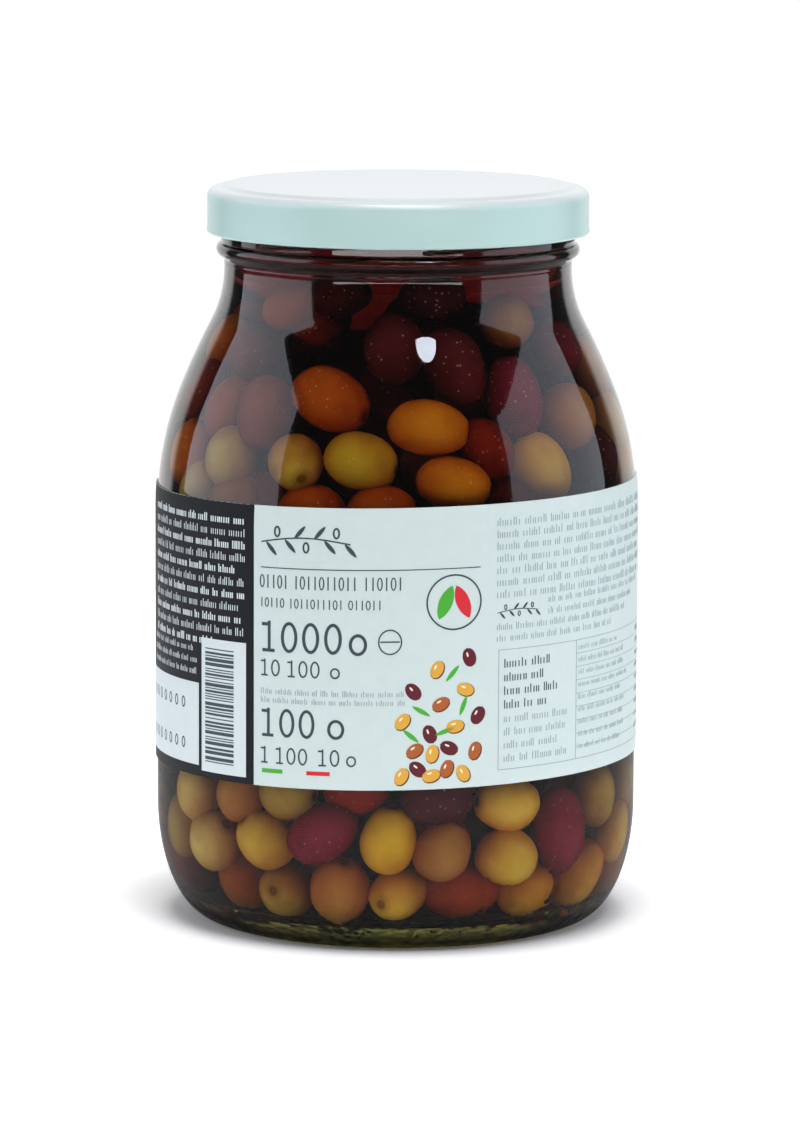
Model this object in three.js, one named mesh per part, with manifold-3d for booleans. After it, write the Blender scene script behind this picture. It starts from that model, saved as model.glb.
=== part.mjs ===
// A shut jar of olives: clear glass jar, white twist-off lid, paper label round the body and the packed olives.
// Millimetres, +Z up. The jar stands on z = 0 with its axis on the Z axis, and the label's front faces -Y.
import * as THREE from "three";
import { mergeVertices } from "three/addons/utils/BufferGeometryUtils.js";
import Module from "manifold-3d";

const wasm = await Module();
wasm.setup();

// Glass body, outside
const BODY_RADIUS = 53.5;
const BEARING_INNER_RADIUS = 39.2;
const BEARING_OUTER_RADIUS = 41.7;
const HEEL_HEIGHT = 25.7;
const SHOULDER_START = 92;
const SHOULDER_ARC_RADIUS = 72;
const NECK_ARC_RADIUS = 27.5;
const NECK_RADIUS = 38.65;
const NECK_HEIGHT = 145.5;
const PARTING_RIDGE_HEIGHT = 146.4;
const PARTING_RIDGE_DEPTH = 0.15;

// Push-up under the base, and the curve of its dome as shares of the bearing radius and of the push-up
const PUSH_UP = 4.2;
const PUSH_UP_CURVE = [
  [0.55, 0.85],
  [0.88, 0.4],
];

// Glass finish, under the lid
const BEAD_HEIGHT = 149.5;
const BEAD_RADIUS = 40.4;
const BEAD_HALF_WIDTH = 1.7;
const BEAD_END_DEG = 70;
const FINISH_RADIUS = 39.3;
const MOUTH_HEIGHT = 162;
const MOUTH_ROUNDING = 1.2;
const THREAD_COUNT = 6;
const THREAD_RADIUS = 40.5;
const THREAD_ROOT_SUNK = 0.6;
const THREAD_START_DEG = 10;
const THREAD_SPAN_DEG = 48;
const THREAD_START_HEIGHT = 152.1;
const THREAD_RISE = 1.8;
const THREAD_THICKNESS = 1.7;
const THREAD_BEVEL = 0.425;
const THREAD_STEPS = 4;

// Glass wall and inner floor, which is a little crowned
const WALL = 3;
const FLOOR_THICKNESS = 4.3;
const FLOOR_EDGE_RADIUS = 37;
const FLOOR_EDGE_HEIGHT = 6.2;
const FLOOR_CROWN_RADIUS = 22.2;
const FLOOR_CROWN_DROP = 0.6;

// Twist-off lid
const LID_RADIUS = 42.35;
const LID_SHEET = 0.8;
const LID_RIM_HEIGHT = 153.05;
const LID_RING_HEIGHT = 163.1;
const LID_PANEL_HEIGHT = 163.8;
const LID_PANEL_RADIUS = 38;
const LID_PANEL_STEP = 1.1;
const LID_CORNER = 1.9;
const CURL_RADIUS = 0.75;
const CURL_OVERHANG = 0.15;
const LUG_SPAN_DEG = 6;
const LUG_HEIGHT = 1.3;
const LUG_DEPTH = 1.9;

// Paper label, put on slightly askew; above the bend it leans in with the shoulder
const LABEL_BOTTOM = 36.9;
const LABEL_HEIGHT = 61.4;
const LABEL_BEND = 54.032;
const LABEL_THICKNESS = 0.2;
const LABEL_GAP = 0.2;
const LABEL_HALF_SPAN_DEG = 168;
const LABEL_SKEW = 0.0224;
const LABEL_SKEW_TURN_DEG = 17;

// Olives, with the spreads by which one differs from the next
const OLIVE_LENGTH = 17.4;
const OLIVE_WIDTH = 13.6;
const OLIVE_SMALLEST_SCALE = 0.9;
const OLIVE_SCALE_SPREAD = 0.2;
const OLIVE_TILT_DEG = 35;
const OLIVE_DEPTH_SPREAD = 0.8;
const OLIVE_HEIGHT_SPREAD = 2.4;
const OLIVE_TURN_SPREAD = 0.3;
const OLIVE_SIDES = 5;
const OLIVE_RINGS = 4;

// The heap in the jar
const OLIVE_CLEARANCE = 0.4;
const OLIVE_STEP_IN = 0.4;
const OLIVE_PITCH = 16.8;
const OLIVE_ROW_RISE = 12.8;
const FIRST_ROW_RISE = 6;
const OLIVE_FLOOR_RINGS = [10, 25];
const OLIVE_TOP_RINGS = [8, 23];
const HEAP_TOP = 139;
const CORE_INSET = 6.2;
const HEAP_SEED = 20;
const LABEL_FOOT_MARGIN = 3;
const LABEL_HEAD_MARGIN = 5;
const SEAM_MARGIN_DEG = 10;
const FLOOR_SLOPE_DEG = 90;

// Steps of the round shapes
const ROUND_SEGMENTS = 44;
const LABEL_COLUMNS = 56;
const CORE_SEGMENTS = 20;
const HEEL_STEPS = 5;
const SHOULDER_STEPS = 4;
const BEAD_STEPS = 3;
const LIP_STEPS = 2;
const CURL_STEPS = 3;
const HEAP_WALL_STEPS = 12;
const CORE_WALL_STEPS = 3;

const LOOKS = {
  glass_jar: { color: 0xdfe9e2, roughness: 0.05, opacity: 0.35, transparent: true },
  lid: { color: 0xe4eeec, roughness: 0.35 },
  label: { color: 0xdde9e5, roughness: 0.6 },
  olives: { color: 0x8a5a34, roughness: 0.45 },
};

// Outlines in the plane through the axis, as [radius, height] points from the foot upwards

function arc(centreR, centreZ, radiusR, radiusZ, fromDeg, toDeg, steps) {
  return Array.from({ length: steps + 1 }, (_, i) => {
    const angle = THREE.MathUtils.degToRad(fromDeg + ((toDeg - fromDeg) * i) / steps);
    return [centreR + radiusR * Math.cos(angle), centreZ + radiusZ * Math.sin(angle)];
  });
}

// The convex shoulder and the concave neck are two arcs that share one tangent line.
function shoulderAngleDeg() {
  const across = NECK_RADIUS + NECK_ARC_RADIUS - (BODY_RADIUS - SHOULDER_ARC_RADIUS);
  const up = NECK_HEIGHT - SHOULDER_START;
  const radii = SHOULDER_ARC_RADIUS + NECK_ARC_RADIUS;
  const angle = Math.atan2(up, across) - Math.acos(radii / Math.hypot(across, up));
  return THREE.MathUtils.radToDeg(angle);
}

// Shoulder and neck, moved in from the outside of the glass by the given amount.
function shoulderOutline(inset, steps) {
  const turn = shoulderAngleDeg();
  const shoulderRadius = SHOULDER_ARC_RADIUS - inset;
  const neckArc = NECK_ARC_RADIUS + inset;
  const bodyCentre = BODY_RADIUS - SHOULDER_ARC_RADIUS;
  const neckCentre = NECK_RADIUS + NECK_ARC_RADIUS;
  return [
    ...arc(bodyCentre, SHOULDER_START, shoulderRadius, shoulderRadius, 0, turn, steps),
    ...arc(neckCentre, NECK_HEIGHT, neckArc, neckArc, 180 + turn, 180, steps - 2),
  ];
}

// The inside of the glass up to the neck, or a surface that lies the given clearance inside it.
function cavityOutline(clearance, steps) {
  const inset = WALL + clearance;
  const middle = PUSH_UP + FLOOR_THICKNESS + clearance;
  const heelReach = BODY_RADIUS - inset - FLOOR_EDGE_RADIUS;
  const heelRise = HEEL_HEIGHT - (FLOOR_EDGE_HEIGHT + clearance);
  return [
    [0, middle],
    [FLOOR_CROWN_RADIUS, middle - FLOOR_CROWN_DROP],
    ...arc(FLOOR_EDGE_RADIUS, HEEL_HEIGHT, heelReach, heelRise, -90, 0, steps),
    ...shoulderOutline(inset, steps),
  ];
}

// Solids

function solidFrom(geometry) {
  const bare = geometry.clone();
  bare.deleteAttribute("normal");
  bare.deleteAttribute("uv");
  const merged = mergeVertices(bare, 1e-4);
  const corners = merged.index.array;
  const kept = [];
  for (let i = 0; i < corners.length; i += 3) {
    const [a, b, c] = corners.slice(i, i + 3);
    if (a !== b && b !== c && c !== a) {
      kept.push(a, b, c);
    }
  }
  return new wasm.Manifold(
    new wasm.Mesh({
      numProp: 3,
      vertProperties: merged.attributes.position.array,
      triVerts: new Uint32Array(kept),
    }),
  );
}

function geometryFrom(solid) {
  const mesh = solid.getMesh();
  const geometry = new THREE.BufferGeometry();
  geometry.setAttribute("position", new THREE.BufferAttribute(mesh.vertProperties, 3));
  geometry.setIndex(new THREE.BufferAttribute(mesh.triVerts, 1));
  geometry.computeVertexNormals();
  return geometry;
}

// A solid of revolution about Z, from an outline that starts and ends on the axis.
function turned(outline, segments) {
  const points = outline.map(([r, z]) => new THREE.Vector2(r, z));
  const geometry = new THREE.LatheGeometry(points, segments);
  geometry.rotateX(Math.PI / 2);
  return solidFrom(geometry);
}

// A closed grid: rows of points, each row a closed loop, with the first and last row capped by fans.
function sweptLoops(loops) {
  const count = loops[0].length;
  const faces = [];
  for (let i = 0; i + 1 < loops.length; i++) {
    for (let j = 0; j < count; j++) {
      const a = i * count + j;
      const b = i * count + ((j + 1) % count);
      faces.push(a, b + count, b);
      faces.push(a, a + count, b + count);
    }
  }
  const last = (loops.length - 1) * count;
  for (let j = 1; j + 1 < count; j++) {
    faces.push(0, j, j + 1);
    faces.push(last, last + j + 1, last + j);
  }
  const geometry = new THREE.BufferGeometry();
  geometry.setAttribute("position", new THREE.Float32BufferAttribute(loops.flat(2), 3));
  geometry.setIndex(faces);
  return solidFrom(geometry);
}

// A point at the given angle from the jar's front, counted towards +X.
function aroundFront(angleDeg, radius, height) {
  const angle = THREE.MathUtils.degToRad(angleDeg);
  return [radius * Math.sin(angle), -radius * Math.cos(angle), height];
}

function union(solids) {
  return solids.reduce((joined, solid) => joined.add(solid));
}

// Copies of a shape at even turns, one for each thread.
function atEachThread(firstDeg, shape) {
  const turn = 360 / THREAD_COUNT;
  return Array.from({ length: THREAD_COUNT }, (_, i) => shape(firstDeg + turn * i));
}

// Glass jar

function threadRidge(startDeg) {
  const root = FINISH_RADIUS - THREAD_ROOT_SUNK;
  const loops = Array.from({ length: THREAD_STEPS + 1 }, (_, i) => {
    const along = i / THREAD_STEPS;
    const angle = startDeg + THREAD_SPAN_DEG * along;
    const low = THREAD_START_HEIGHT + THREAD_RISE * along;
    const high = low + THREAD_THICKNESS;
    return [
      aroundFront(angle, root, low - THREAD_BEVEL),
      aroundFront(angle, THREAD_RADIUS, low + THREAD_BEVEL),
      aroundFront(angle, THREAD_RADIUS, high - THREAD_BEVEL),
      aroundFront(angle, root, high + THREAD_BEVEL),
    ];
  });
  return sweptLoops(loops);
}

function glassJar() {
  const dome = PUSH_UP_CURVE.map(([out, up]) => [BEARING_INNER_RADIUS * out, PUSH_UP * up]);
  const heelReach = BODY_RADIUS - BEARING_OUTER_RADIUS;
  const heel = arc(BEARING_OUTER_RADIUS, HEEL_HEIGHT, heelReach, HEEL_HEIGHT, -90, 0, HEEL_STEPS);
  const ridge = NECK_RADIUS + PARTING_RIDGE_DEPTH;
  const beadCentre = BEAD_RADIUS - BEAD_HALF_WIDTH;
  const bead = arc(
    beadCentre, BEAD_HEIGHT, BEAD_HALF_WIDTH, BEAD_HALF_WIDTH, -BEAD_END_DEG, BEAD_END_DEG, BEAD_STEPS,
  );
  const lipHeight = MOUTH_HEIGHT - MOUTH_ROUNDING;
  const outerLip = FINISH_RADIUS - MOUTH_ROUNDING;
  const innerLip = NECK_RADIUS - WALL + MOUTH_ROUNDING;
  const outside = [
    [0, PUSH_UP],
    ...dome,
    [BEARING_INNER_RADIUS, 0],
    ...heel,
    ...shoulderOutline(0, SHOULDER_STEPS),
    [ridge, PARTING_RIDGE_HEIGHT],
    ...bead,
    [FINISH_RADIUS, BEAD_HEIGHT + BEAD_HALF_WIDTH],
    ...arc(outerLip, lipHeight, MOUTH_ROUNDING, MOUTH_ROUNDING, 0, 90, LIP_STEPS),
  ];
  const inside = [
    ...arc(innerLip, lipHeight, MOUTH_ROUNDING, MOUTH_ROUNDING, 90, 180, LIP_STEPS),
    ...cavityOutline(0, SHOULDER_STEPS).reverse(),
  ];
  const jar = turned([...outside, ...inside], ROUND_SEGMENTS);
  return union([jar, ...atEachThread(THREAD_START_DEG, threadRidge)]);
}

// Lid

function lug(middleDeg) {
  const outerRadius = LID_RADIUS - LID_SHEET / 2;
  const innerRadius = outerRadius - LUG_DEPTH;
  const low = LID_RIM_HEIGHT + CURL_RADIUS / 2;
  const high = low + LUG_HEIGHT;
  const reach = LUG_SPAN_DEG / 2;
  const loops = [middleDeg - reach, middleDeg, middleDeg + reach].map((angle) => [
    aroundFront(angle, innerRadius, low),
    aroundFront(angle, outerRadius, low),
    aroundFront(angle, outerRadius, high),
    aroundFront(angle, innerRadius, high),
  ]);
  return sweptLoops(loops);
}

function lid() {
  const curlCentre = LID_RADIUS + CURL_OVERHANG - CURL_RADIUS;
  const curlHeight = LID_RIM_HEIGHT + CURL_RADIUS;
  const curlTop = curlHeight + CURL_RADIUS;
  const cornerCentre = LID_RADIUS - LID_CORNER;
  const cornerHeight = LID_RING_HEIGHT - LID_CORNER;
  const innerCorner = LID_CORNER - LID_SHEET;
  const panelUnderside = LID_PANEL_HEIGHT - LID_SHEET;
  const outline = [
    [0, panelUnderside],
    [LID_PANEL_RADIUS - LID_SHEET, panelUnderside],
    [LID_PANEL_RADIUS + LID_SHEET / 2, LID_RING_HEIGHT - LID_SHEET],
    ...arc(cornerCentre, cornerHeight, innerCorner, innerCorner, 90, 0, LIP_STEPS),
    [LID_RADIUS - LID_SHEET, curlTop],
    ...arc(curlCentre, curlHeight, CURL_RADIUS, CURL_RADIUS, -180, 0, CURL_STEPS),
    [LID_RADIUS, curlTop],
    ...arc(cornerCentre, cornerHeight, LID_CORNER, LID_CORNER, 0, 90, CURL_STEPS),
    [LID_PANEL_RADIUS + LID_PANEL_STEP, LID_RING_HEIGHT],
    [LID_PANEL_RADIUS, LID_PANEL_HEIGHT],
    [0, LID_PANEL_HEIGHT],
  ];
  const cap = turned(outline, ROUND_SEGMENTS);
  // The lugs stand in the gaps between one thread's end and the next one's start.
  const lugDeg = THREAD_START_DEG + (THREAD_SPAN_DEG + 360 / THREAD_COUNT) / 2;
  return union([cap, ...atEachThread(lugDeg, lug)]);
}

// Label

function glassRadiusAt(height) {
  const above = Math.max(0, height - SHOULDER_START);
  const drop = SHOULDER_ARC_RADIUS - Math.sqrt(SHOULDER_ARC_RADIUS ** 2 - above ** 2);
  return BODY_RADIUS - drop;
}

function labelPoint(angleDeg, up, lift) {
  const turn = THREE.MathUtils.degToRad(angleDeg + LABEL_SKEW_TURN_DEG);
  const height = LABEL_BOTTOM + up + LABEL_SKEW * BODY_RADIUS * Math.sin(turn);
  return aroundFront(angleDeg, glassRadiusAt(height) + LABEL_GAP + lift, height);
}

function label() {
  const heights = [0, LABEL_BEND, LABEL_HEIGHT];
  const loops = Array.from({ length: LABEL_COLUMNS + 1 }, (_, i) => {
    const angle = LABEL_HALF_SPAN_DEG * ((2 * i) / LABEL_COLUMNS - 1);
    return [
      ...heights.map((up) => labelPoint(angle, up, LABEL_THICKNESS)),
      ...heights.toReversed().map((up) => labelPoint(angle, up, 0)),
    ];
  });
  return sweptLoops(loops);
}

// Olives: a core with the olives that show against the glass fused on

// A linear congruential generator, which gives the same heap every time.
function seededRandom(seed) {
  const factor = 1664525;
  const increment = 1013904223;
  const modulus = 2 ** 32;
  let state = seed;
  return () => {
    state = (state * factor + increment) % modulus;
    return state / modulus;
  };
}

// The radius and the slope of the glass's inside at a height, read off its outline.
function wallAt(outline, height) {
  const upper = outline.findIndex(([, z], i) => i > 1 && z > height);
  if (upper < 0) {
    return { radius: outline.at(-1)[0], slope: 0 };
  }
  const [r0, z0] = outline[upper - 1];
  const [r1, z1] = outline[upper];
  const share = (height - z0) / (z1 - z0);
  const slope = THREE.MathUtils.radToDeg(Math.atan2(r1 - r0, z1 - z0));
  return { radius: r0 + (r1 - r0) * share, slope };
}

function fitsInside(geometry, outline) {
  const points = geometry.getAttribute("position");
  const floor = outline[0][1];
  for (let i = 0; i < points.count; i++) {
    const radius = Math.hypot(points.getX(i), points.getY(i));
    const height = points.getZ(i);
    if (height < floor || radius > wallAt(outline, height).radius) {
      return false;
    }
  }
  return true;
}

// One olive against the glass: its long axis lies near the wall, turned by a tilt.
// The wall's slope is 0 where it is upright and 90 on a floor, and the olive moves in until it is clear.
function olive(angleDeg, wallRadius, height, slopeDeg, outline, random) {
  const scale = OLIVE_SMALLEST_SCALE + OLIVE_SCALE_SPREAD * random();
  const tilt = THREE.MathUtils.degToRad(OLIVE_TILT_DEG * (2 * random() - 1));
  const halfLength = (OLIVE_LENGTH / 2) * scale;
  const halfWidth = (OLIVE_WIDTH / 2) * scale;
  const depth = halfWidth + OLIVE_DEPTH_SPREAD * random();
  for (let moved = 0; moved < OLIVE_WIDTH; moved += OLIVE_STEP_IN) {
    const geometry = new THREE.SphereGeometry(1, OLIVE_SIDES, OLIVE_RINGS);
    geometry.rotateZ(Math.PI / 2);
    geometry.scale(halfLength, halfWidth, halfWidth);
    geometry.rotateY(tilt);
    geometry.translate(0, depth + moved, 0);
    geometry.rotateX(THREE.MathUtils.degToRad(slopeDeg));
    geometry.translate(0, -wallRadius, height);
    geometry.rotateZ(THREE.MathUtils.degToRad(angleDeg));
    if (fitsInside(geometry, outline)) {
      return solidFrom(geometry);
    }
  }
  throw new Error("an olive finds no room at height " + height);
}

// Whether a height lies behind the label, where only its seam at the back leaves olives in sight.
function behindLabel(angleDeg, height) {
  const labelTop = LABEL_BOTTOM + LABEL_HEIGHT;
  const fromSeam = Math.abs(((angleDeg + 360) % 360) - 180);
  const covered = height > LABEL_BOTTOM + LABEL_FOOT_MARGIN && height < labelTop - LABEL_HEAD_MARGIN;
  return covered && fromSeam > 180 - LABEL_HALF_SPAN_DEG + SEAM_MARGIN_DEG;
}

// A ring of olives round the axis. turnShare says by how much of one olive's place the ring is turned.
function oliveRing(wall, centreRadius, height, turnShare, outline, random) {
  const count = Math.round((2 * Math.PI * centreRadius) / OLIVE_PITCH);
  const flat = wall.slope === FLOOR_SLOPE_DEG;
  const ring = [];
  for (let i = 0; i < count; i++) {
    const angle = (360 / count) * (i + turnShare + OLIVE_TURN_SPREAD * (random() - 0.5));
    const lift = flat ? 0 : OLIVE_HEIGHT_SPREAD * (random() - 0.5);
    if (!behindLabel(angle, height)) {
      ring.push(olive(angle, wall.radius, height + lift, wall.slope, outline, random));
    }
  }
  return ring;
}

function wallOlives(outline, random) {
  const firstHeight = FLOOR_EDGE_HEIGHT + FIRST_ROW_RISE;
  const rows = Math.ceil((HEAP_TOP - firstHeight) / OLIVE_ROW_RISE);
  return Array.from({ length: rows }, (_, row) => {
    const height = firstHeight + OLIVE_ROW_RISE * row;
    const wall = wallAt(outline, height);
    const turnShare = (row % 2) / 2;
    return oliveRing(wall, wall.radius - OLIVE_WIDTH / 2, height, turnShare, outline, random);
  }).flat();
}

// Olives that lie flat in rings round the axis, on the floor or on top of the heap.
function flatOlives(radii, height, outline, random) {
  return radii.flatMap((radius) => {
    const wall = { radius, slope: FLOOR_SLOPE_DEG };
    return oliveRing(wall, radius, height, 0, outline, random);
  });
}

function oliveHeap() {
  const random = seededRandom(HEAP_SEED);
  const outline = cavityOutline(OLIVE_CLEARANCE, HEAP_WALL_STEPS);
  const pieces = [
    ...wallOlives(outline, random),
    ...flatOlives(OLIVE_FLOOR_RINGS, outline[0][1], outline, random),
    ...flatOlives(OLIVE_TOP_RINGS, HEAP_TOP - OLIVE_WIDTH, outline, random),
  ];
  const coreTop = HEAP_TOP - OLIVE_WIDTH / 3;
  const wall = cavityOutline(OLIVE_CLEARANCE + CORE_INSET, CORE_WALL_STEPS);
  const side = wall.filter(([, z]) => z < coreTop);
  const core = turned([...side, [side.at(-1)[0], coreTop], [0, coreTop]], CORE_SEGMENTS);
  // Small hollows that the fusing seals are filled by keeping only the outer skin.
  const parts = union([core, ...pieces]).decompose();
  return parts.reduce((a, b) => (b.volume() > a.volume() ? b : a));
}

// The object

function piece(name, solid) {
  const mesh = new THREE.Mesh(geometryFrom(solid), new THREE.MeshStandardMaterial(LOOKS[name]));
  mesh.name = name;
  return mesh;
}

const jarOfOlives = new THREE.Group();
jarOfOlives.add(piece("glass_jar", glassJar()));
jarOfOlives.add(piece("lid", lid()));
jarOfOlives.add(piece("label", label()));
jarOfOlives.add(piece("olives", oliveHeap()));

export default jarOfOlives;
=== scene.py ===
"""A shut jar of olives: the looks of the glass, the brine, the olives, the lid and the printed label."""
import math
import random

import bmesh
import bpy
import numpy as np
from mathutils import Matrix, Vector


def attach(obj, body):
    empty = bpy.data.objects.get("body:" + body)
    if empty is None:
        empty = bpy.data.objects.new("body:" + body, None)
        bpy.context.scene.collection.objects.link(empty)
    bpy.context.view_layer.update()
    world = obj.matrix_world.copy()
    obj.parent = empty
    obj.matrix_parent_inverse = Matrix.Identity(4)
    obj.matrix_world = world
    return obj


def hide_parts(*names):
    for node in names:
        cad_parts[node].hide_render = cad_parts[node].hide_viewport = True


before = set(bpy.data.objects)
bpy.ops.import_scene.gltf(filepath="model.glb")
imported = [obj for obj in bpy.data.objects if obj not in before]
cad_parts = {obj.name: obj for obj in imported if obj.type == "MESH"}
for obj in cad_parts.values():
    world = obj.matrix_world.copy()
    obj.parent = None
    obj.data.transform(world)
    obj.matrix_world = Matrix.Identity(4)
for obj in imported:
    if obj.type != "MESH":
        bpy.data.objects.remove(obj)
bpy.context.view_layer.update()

# Sizes in millimetres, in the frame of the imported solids: z up, the label's front towards -Y.
MM = 0.001
BODY_RADIUS = 53.5
BEARING_INNER_RADIUS = 39.2
BEARING_OUTER_RADIUS = 41.7
HEEL_HEIGHT = 25.7
SHOULDER_START = 92.0
SHOULDER_ARC_RADIUS = 72.0
NECK_RADIUS = 38.65
NECK_HEIGHT = 145.5
PARTING_RIDGE_HEIGHT = 146.4
PARTING_RIDGE_DEPTH = 0.06
BEAD_HEIGHT = 149.5
BEAD_RADIUS = 40.4
BEAD_HALF_WIDTH = 1.7
FINISH_RADIUS = 39.3
MOUTH_HEIGHT = 162.0
MOUTH_ROUNDING = 1.2
THREAD_COUNT = 6
THREAD_DEPTH = 1.2
THREAD_START_DEG = 10.0
THREAD_SPAN_DEG = 48.0
THREAD_START_HEIGHT = 152.1
THREAD_RISE = 1.8
THREAD_THICKNESS = 1.7
WALL = 3.0
PUSH_UP = 4.2
FLOOR_THICKNESS = 4.3
FLOOR_EDGE_RADIUS = 37.0
FLOOR_EDGE_HEIGHT = 6.2
BRINE_REACH = 0.15
BRINE_LEVEL = 157.0
GLASS_INDEX, BRINE_INDEX = 1.5, 1.34

LID_RADIUS = 42.35
LID_SHEET = 0.8
LID_RIM_HEIGHT = 153.05
LID_RING_HEIGHT = 163.1
LID_PANEL_HEIGHT = 163.8
LID_PANEL_RADIUS = 38.0
LID_CORNER = 1.9
CURL_RADIUS = 0.75
LUG_SPAN_DEG = 6.0
LUG_HEIGHT = 1.3
LUG_DEPTH = 1.9
LUG_LOW = LID_RIM_HEIGHT + CURL_RADIUS / 2
LUG_MIDDLE_DEG = THREAD_START_DEG + (THREAD_SPAN_DEG + 360 / THREAD_COUNT) / 2

LABEL_BOTTOM = 36.9
LABEL_HEIGHT = 61.4
LABEL_OUTSIDE = 0.4
LABEL_HALF_LENGTH = math.radians(168) * BODY_RADIUS
LABEL_SKEW = 0.0224
LABEL_SKEW_TURN_DEG = 17.0

# The photo's camera, for an image 800 by 1127 pixels
IMAGE_WIDTH, IMAGE_HEIGHT = 800, 1127
FOCAL_PIXELS = 5874.93
CAMERA_PLACE = (0.742, -1300.0, 275.24)
CAMERA_PITCH = 0.1501
CAMERA_ROLL = 0.0045


def linear(r, g, b):
    """A colour given as 0 to 255 screen values, in linear light with alpha 1."""
    shares = [c / 255 for c in (r, g, b)]
    light = [c / 12.92 if c <= 0.04045 else ((c + 0.055) / 1.055) ** 2.4 for c in shares]
    return (*light, 1.0)


# Meshes

def mesh_object(name, points_mm, faces, smooth=True):
    mesh = bpy.data.meshes.new(name)
    mesh.from_pydata([Vector(p) * MM for p in points_mm], [], faces)
    mesh.update()
    if smooth:
        mesh.shade_smooth()
    piece = bpy.data.objects.new(name, mesh)
    bpy.context.scene.collection.objects.link(piece)
    return piece


def around_front(angle, radius, height):
    """A point at the given angle from the jar's front, counted towards +X."""
    return (radius * math.sin(angle), -radius * math.cos(angle), height)


def arc(centre_r, centre_z, radius_r, radius_z, from_deg, to_deg, steps):
    angles = np.radians(np.linspace(from_deg, to_deg, steps + 1))
    return [(centre_r + radius_r * math.cos(a), centre_z + radius_z * math.sin(a)) for a in angles]


def line(start, end, steps):
    return [tuple(p) for p in np.linspace(start, end, steps + 1)]


def turned(name, outline, angles, bump=None):
    """A closed skin of revolution from an outline that starts and ends on the axis.
    bump(angle, radius, height) gives how far a point stands out from the outline."""
    points, rows = [], []
    for r, z in outline:
        rows.append(len(points))
        if r < 1e-6:
            points.append((0, 0, z))
            continue
        for a in angles:
            out = bump(a, r, z) if bump else 0
            points.append(around_front(a, r + out, z))
    count, faces = len(angles), []
    for i in range(len(outline) - 1):
        low, high = rows[i], rows[i + 1]
        low_axis, high_axis = outline[i][0] < 1e-6, outline[i + 1][0] < 1e-6
        for j in range(count):
            k = (j + 1) % count
            if low_axis:
                faces.append((low, high + k, high + j))
            elif high_axis:
                faces.append((low + j, low + k, high))
            else:
                faces.append((low + j, low + k, high + k, high + j))
    return mesh_object(name, points, faces)


# Outlines of the glass

SHOULDER_EASE_DEG, SHOULDER_STEEPEST_DEG = 22.0, 27.5


def shoulder_arcs():
    """The long middle arc's radius and the neck arc's. With them the shoulder, the middle and the neck
    share their tangents."""
    ease, steep = math.radians(SHOULDER_EASE_DEG), math.radians(SHOULDER_STEEPEST_DEG)
    r = BODY_RADIUS - SHOULDER_ARC_RADIUS * (1 - math.cos(ease)) - NECK_RADIUS
    z = NECK_HEIGHT - SHOULDER_START - SHOULDER_ARC_RADIUS * math.sin(ease)
    ways = [[math.cos(ease) - math.cos(steep), 1 - math.cos(steep)],
            [math.sin(steep) - math.sin(ease), math.sin(steep)]]
    return np.linalg.solve(ways, [r, z])


def shoulder_outline(inset, steps):
    middle_radius, neck_radius = shoulder_arcs()
    ease, steep = SHOULDER_EASE_DEG, SHOULDER_STEEPEST_DEG
    first_r, first_z = BODY_RADIUS - SHOULDER_ARC_RADIUS, SHOULDER_START
    shrink = SHOULDER_ARC_RADIUS - middle_radius
    middle_r = first_r + shrink * math.cos(math.radians(ease))
    middle_z = first_z + shrink * math.sin(math.radians(ease))
    shoulder, middle, neck = SHOULDER_ARC_RADIUS - inset, middle_radius - inset, neck_radius + inset
    return (arc(first_r, first_z, shoulder, shoulder, 0, ease, steps)
            + arc(middle_r, middle_z, middle, middle, ease, steep, steps // 2)[1:]
            + arc(NECK_RADIUS + neck_radius, NECK_HEIGHT, neck, neck, 180 + steep, 180, steps)[1:])


def cavity_outline(clearance, steps):
    """The inside of the glass up to the neck, or a surface that lies the given clearance inside it."""
    inset = WALL + clearance
    edge = FLOOR_EDGE_HEIGHT + clearance
    heel = arc(FLOOR_EDGE_RADIUS, HEEL_HEIGHT, BODY_RADIUS - inset - FLOOR_EDGE_RADIUS,
               HEEL_HEIGHT - edge, -90, 0, steps)
    middle = PUSH_UP + FLOOR_THICKNESS + clearance
    return ([(0, middle), (FLOOR_EDGE_RADIUS * 0.3, middle - 0.15), (FLOOR_EDGE_RADIUS * 0.6, middle - 0.6),
             (FLOOR_EDGE_RADIUS * 0.85, middle - 1.7)] + heel + shoulder_outline(inset, steps))


# The pushed-up base, as shares of the bearing ring's inner radius and of the height in the middle
PUSH_UP_FORM = [(0, 1), (0.3, 0.97), (0.55, 0.85), (0.75, 0.62), (0.88, 0.4), (0.96, 0.15), (1, 0)]


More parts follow.
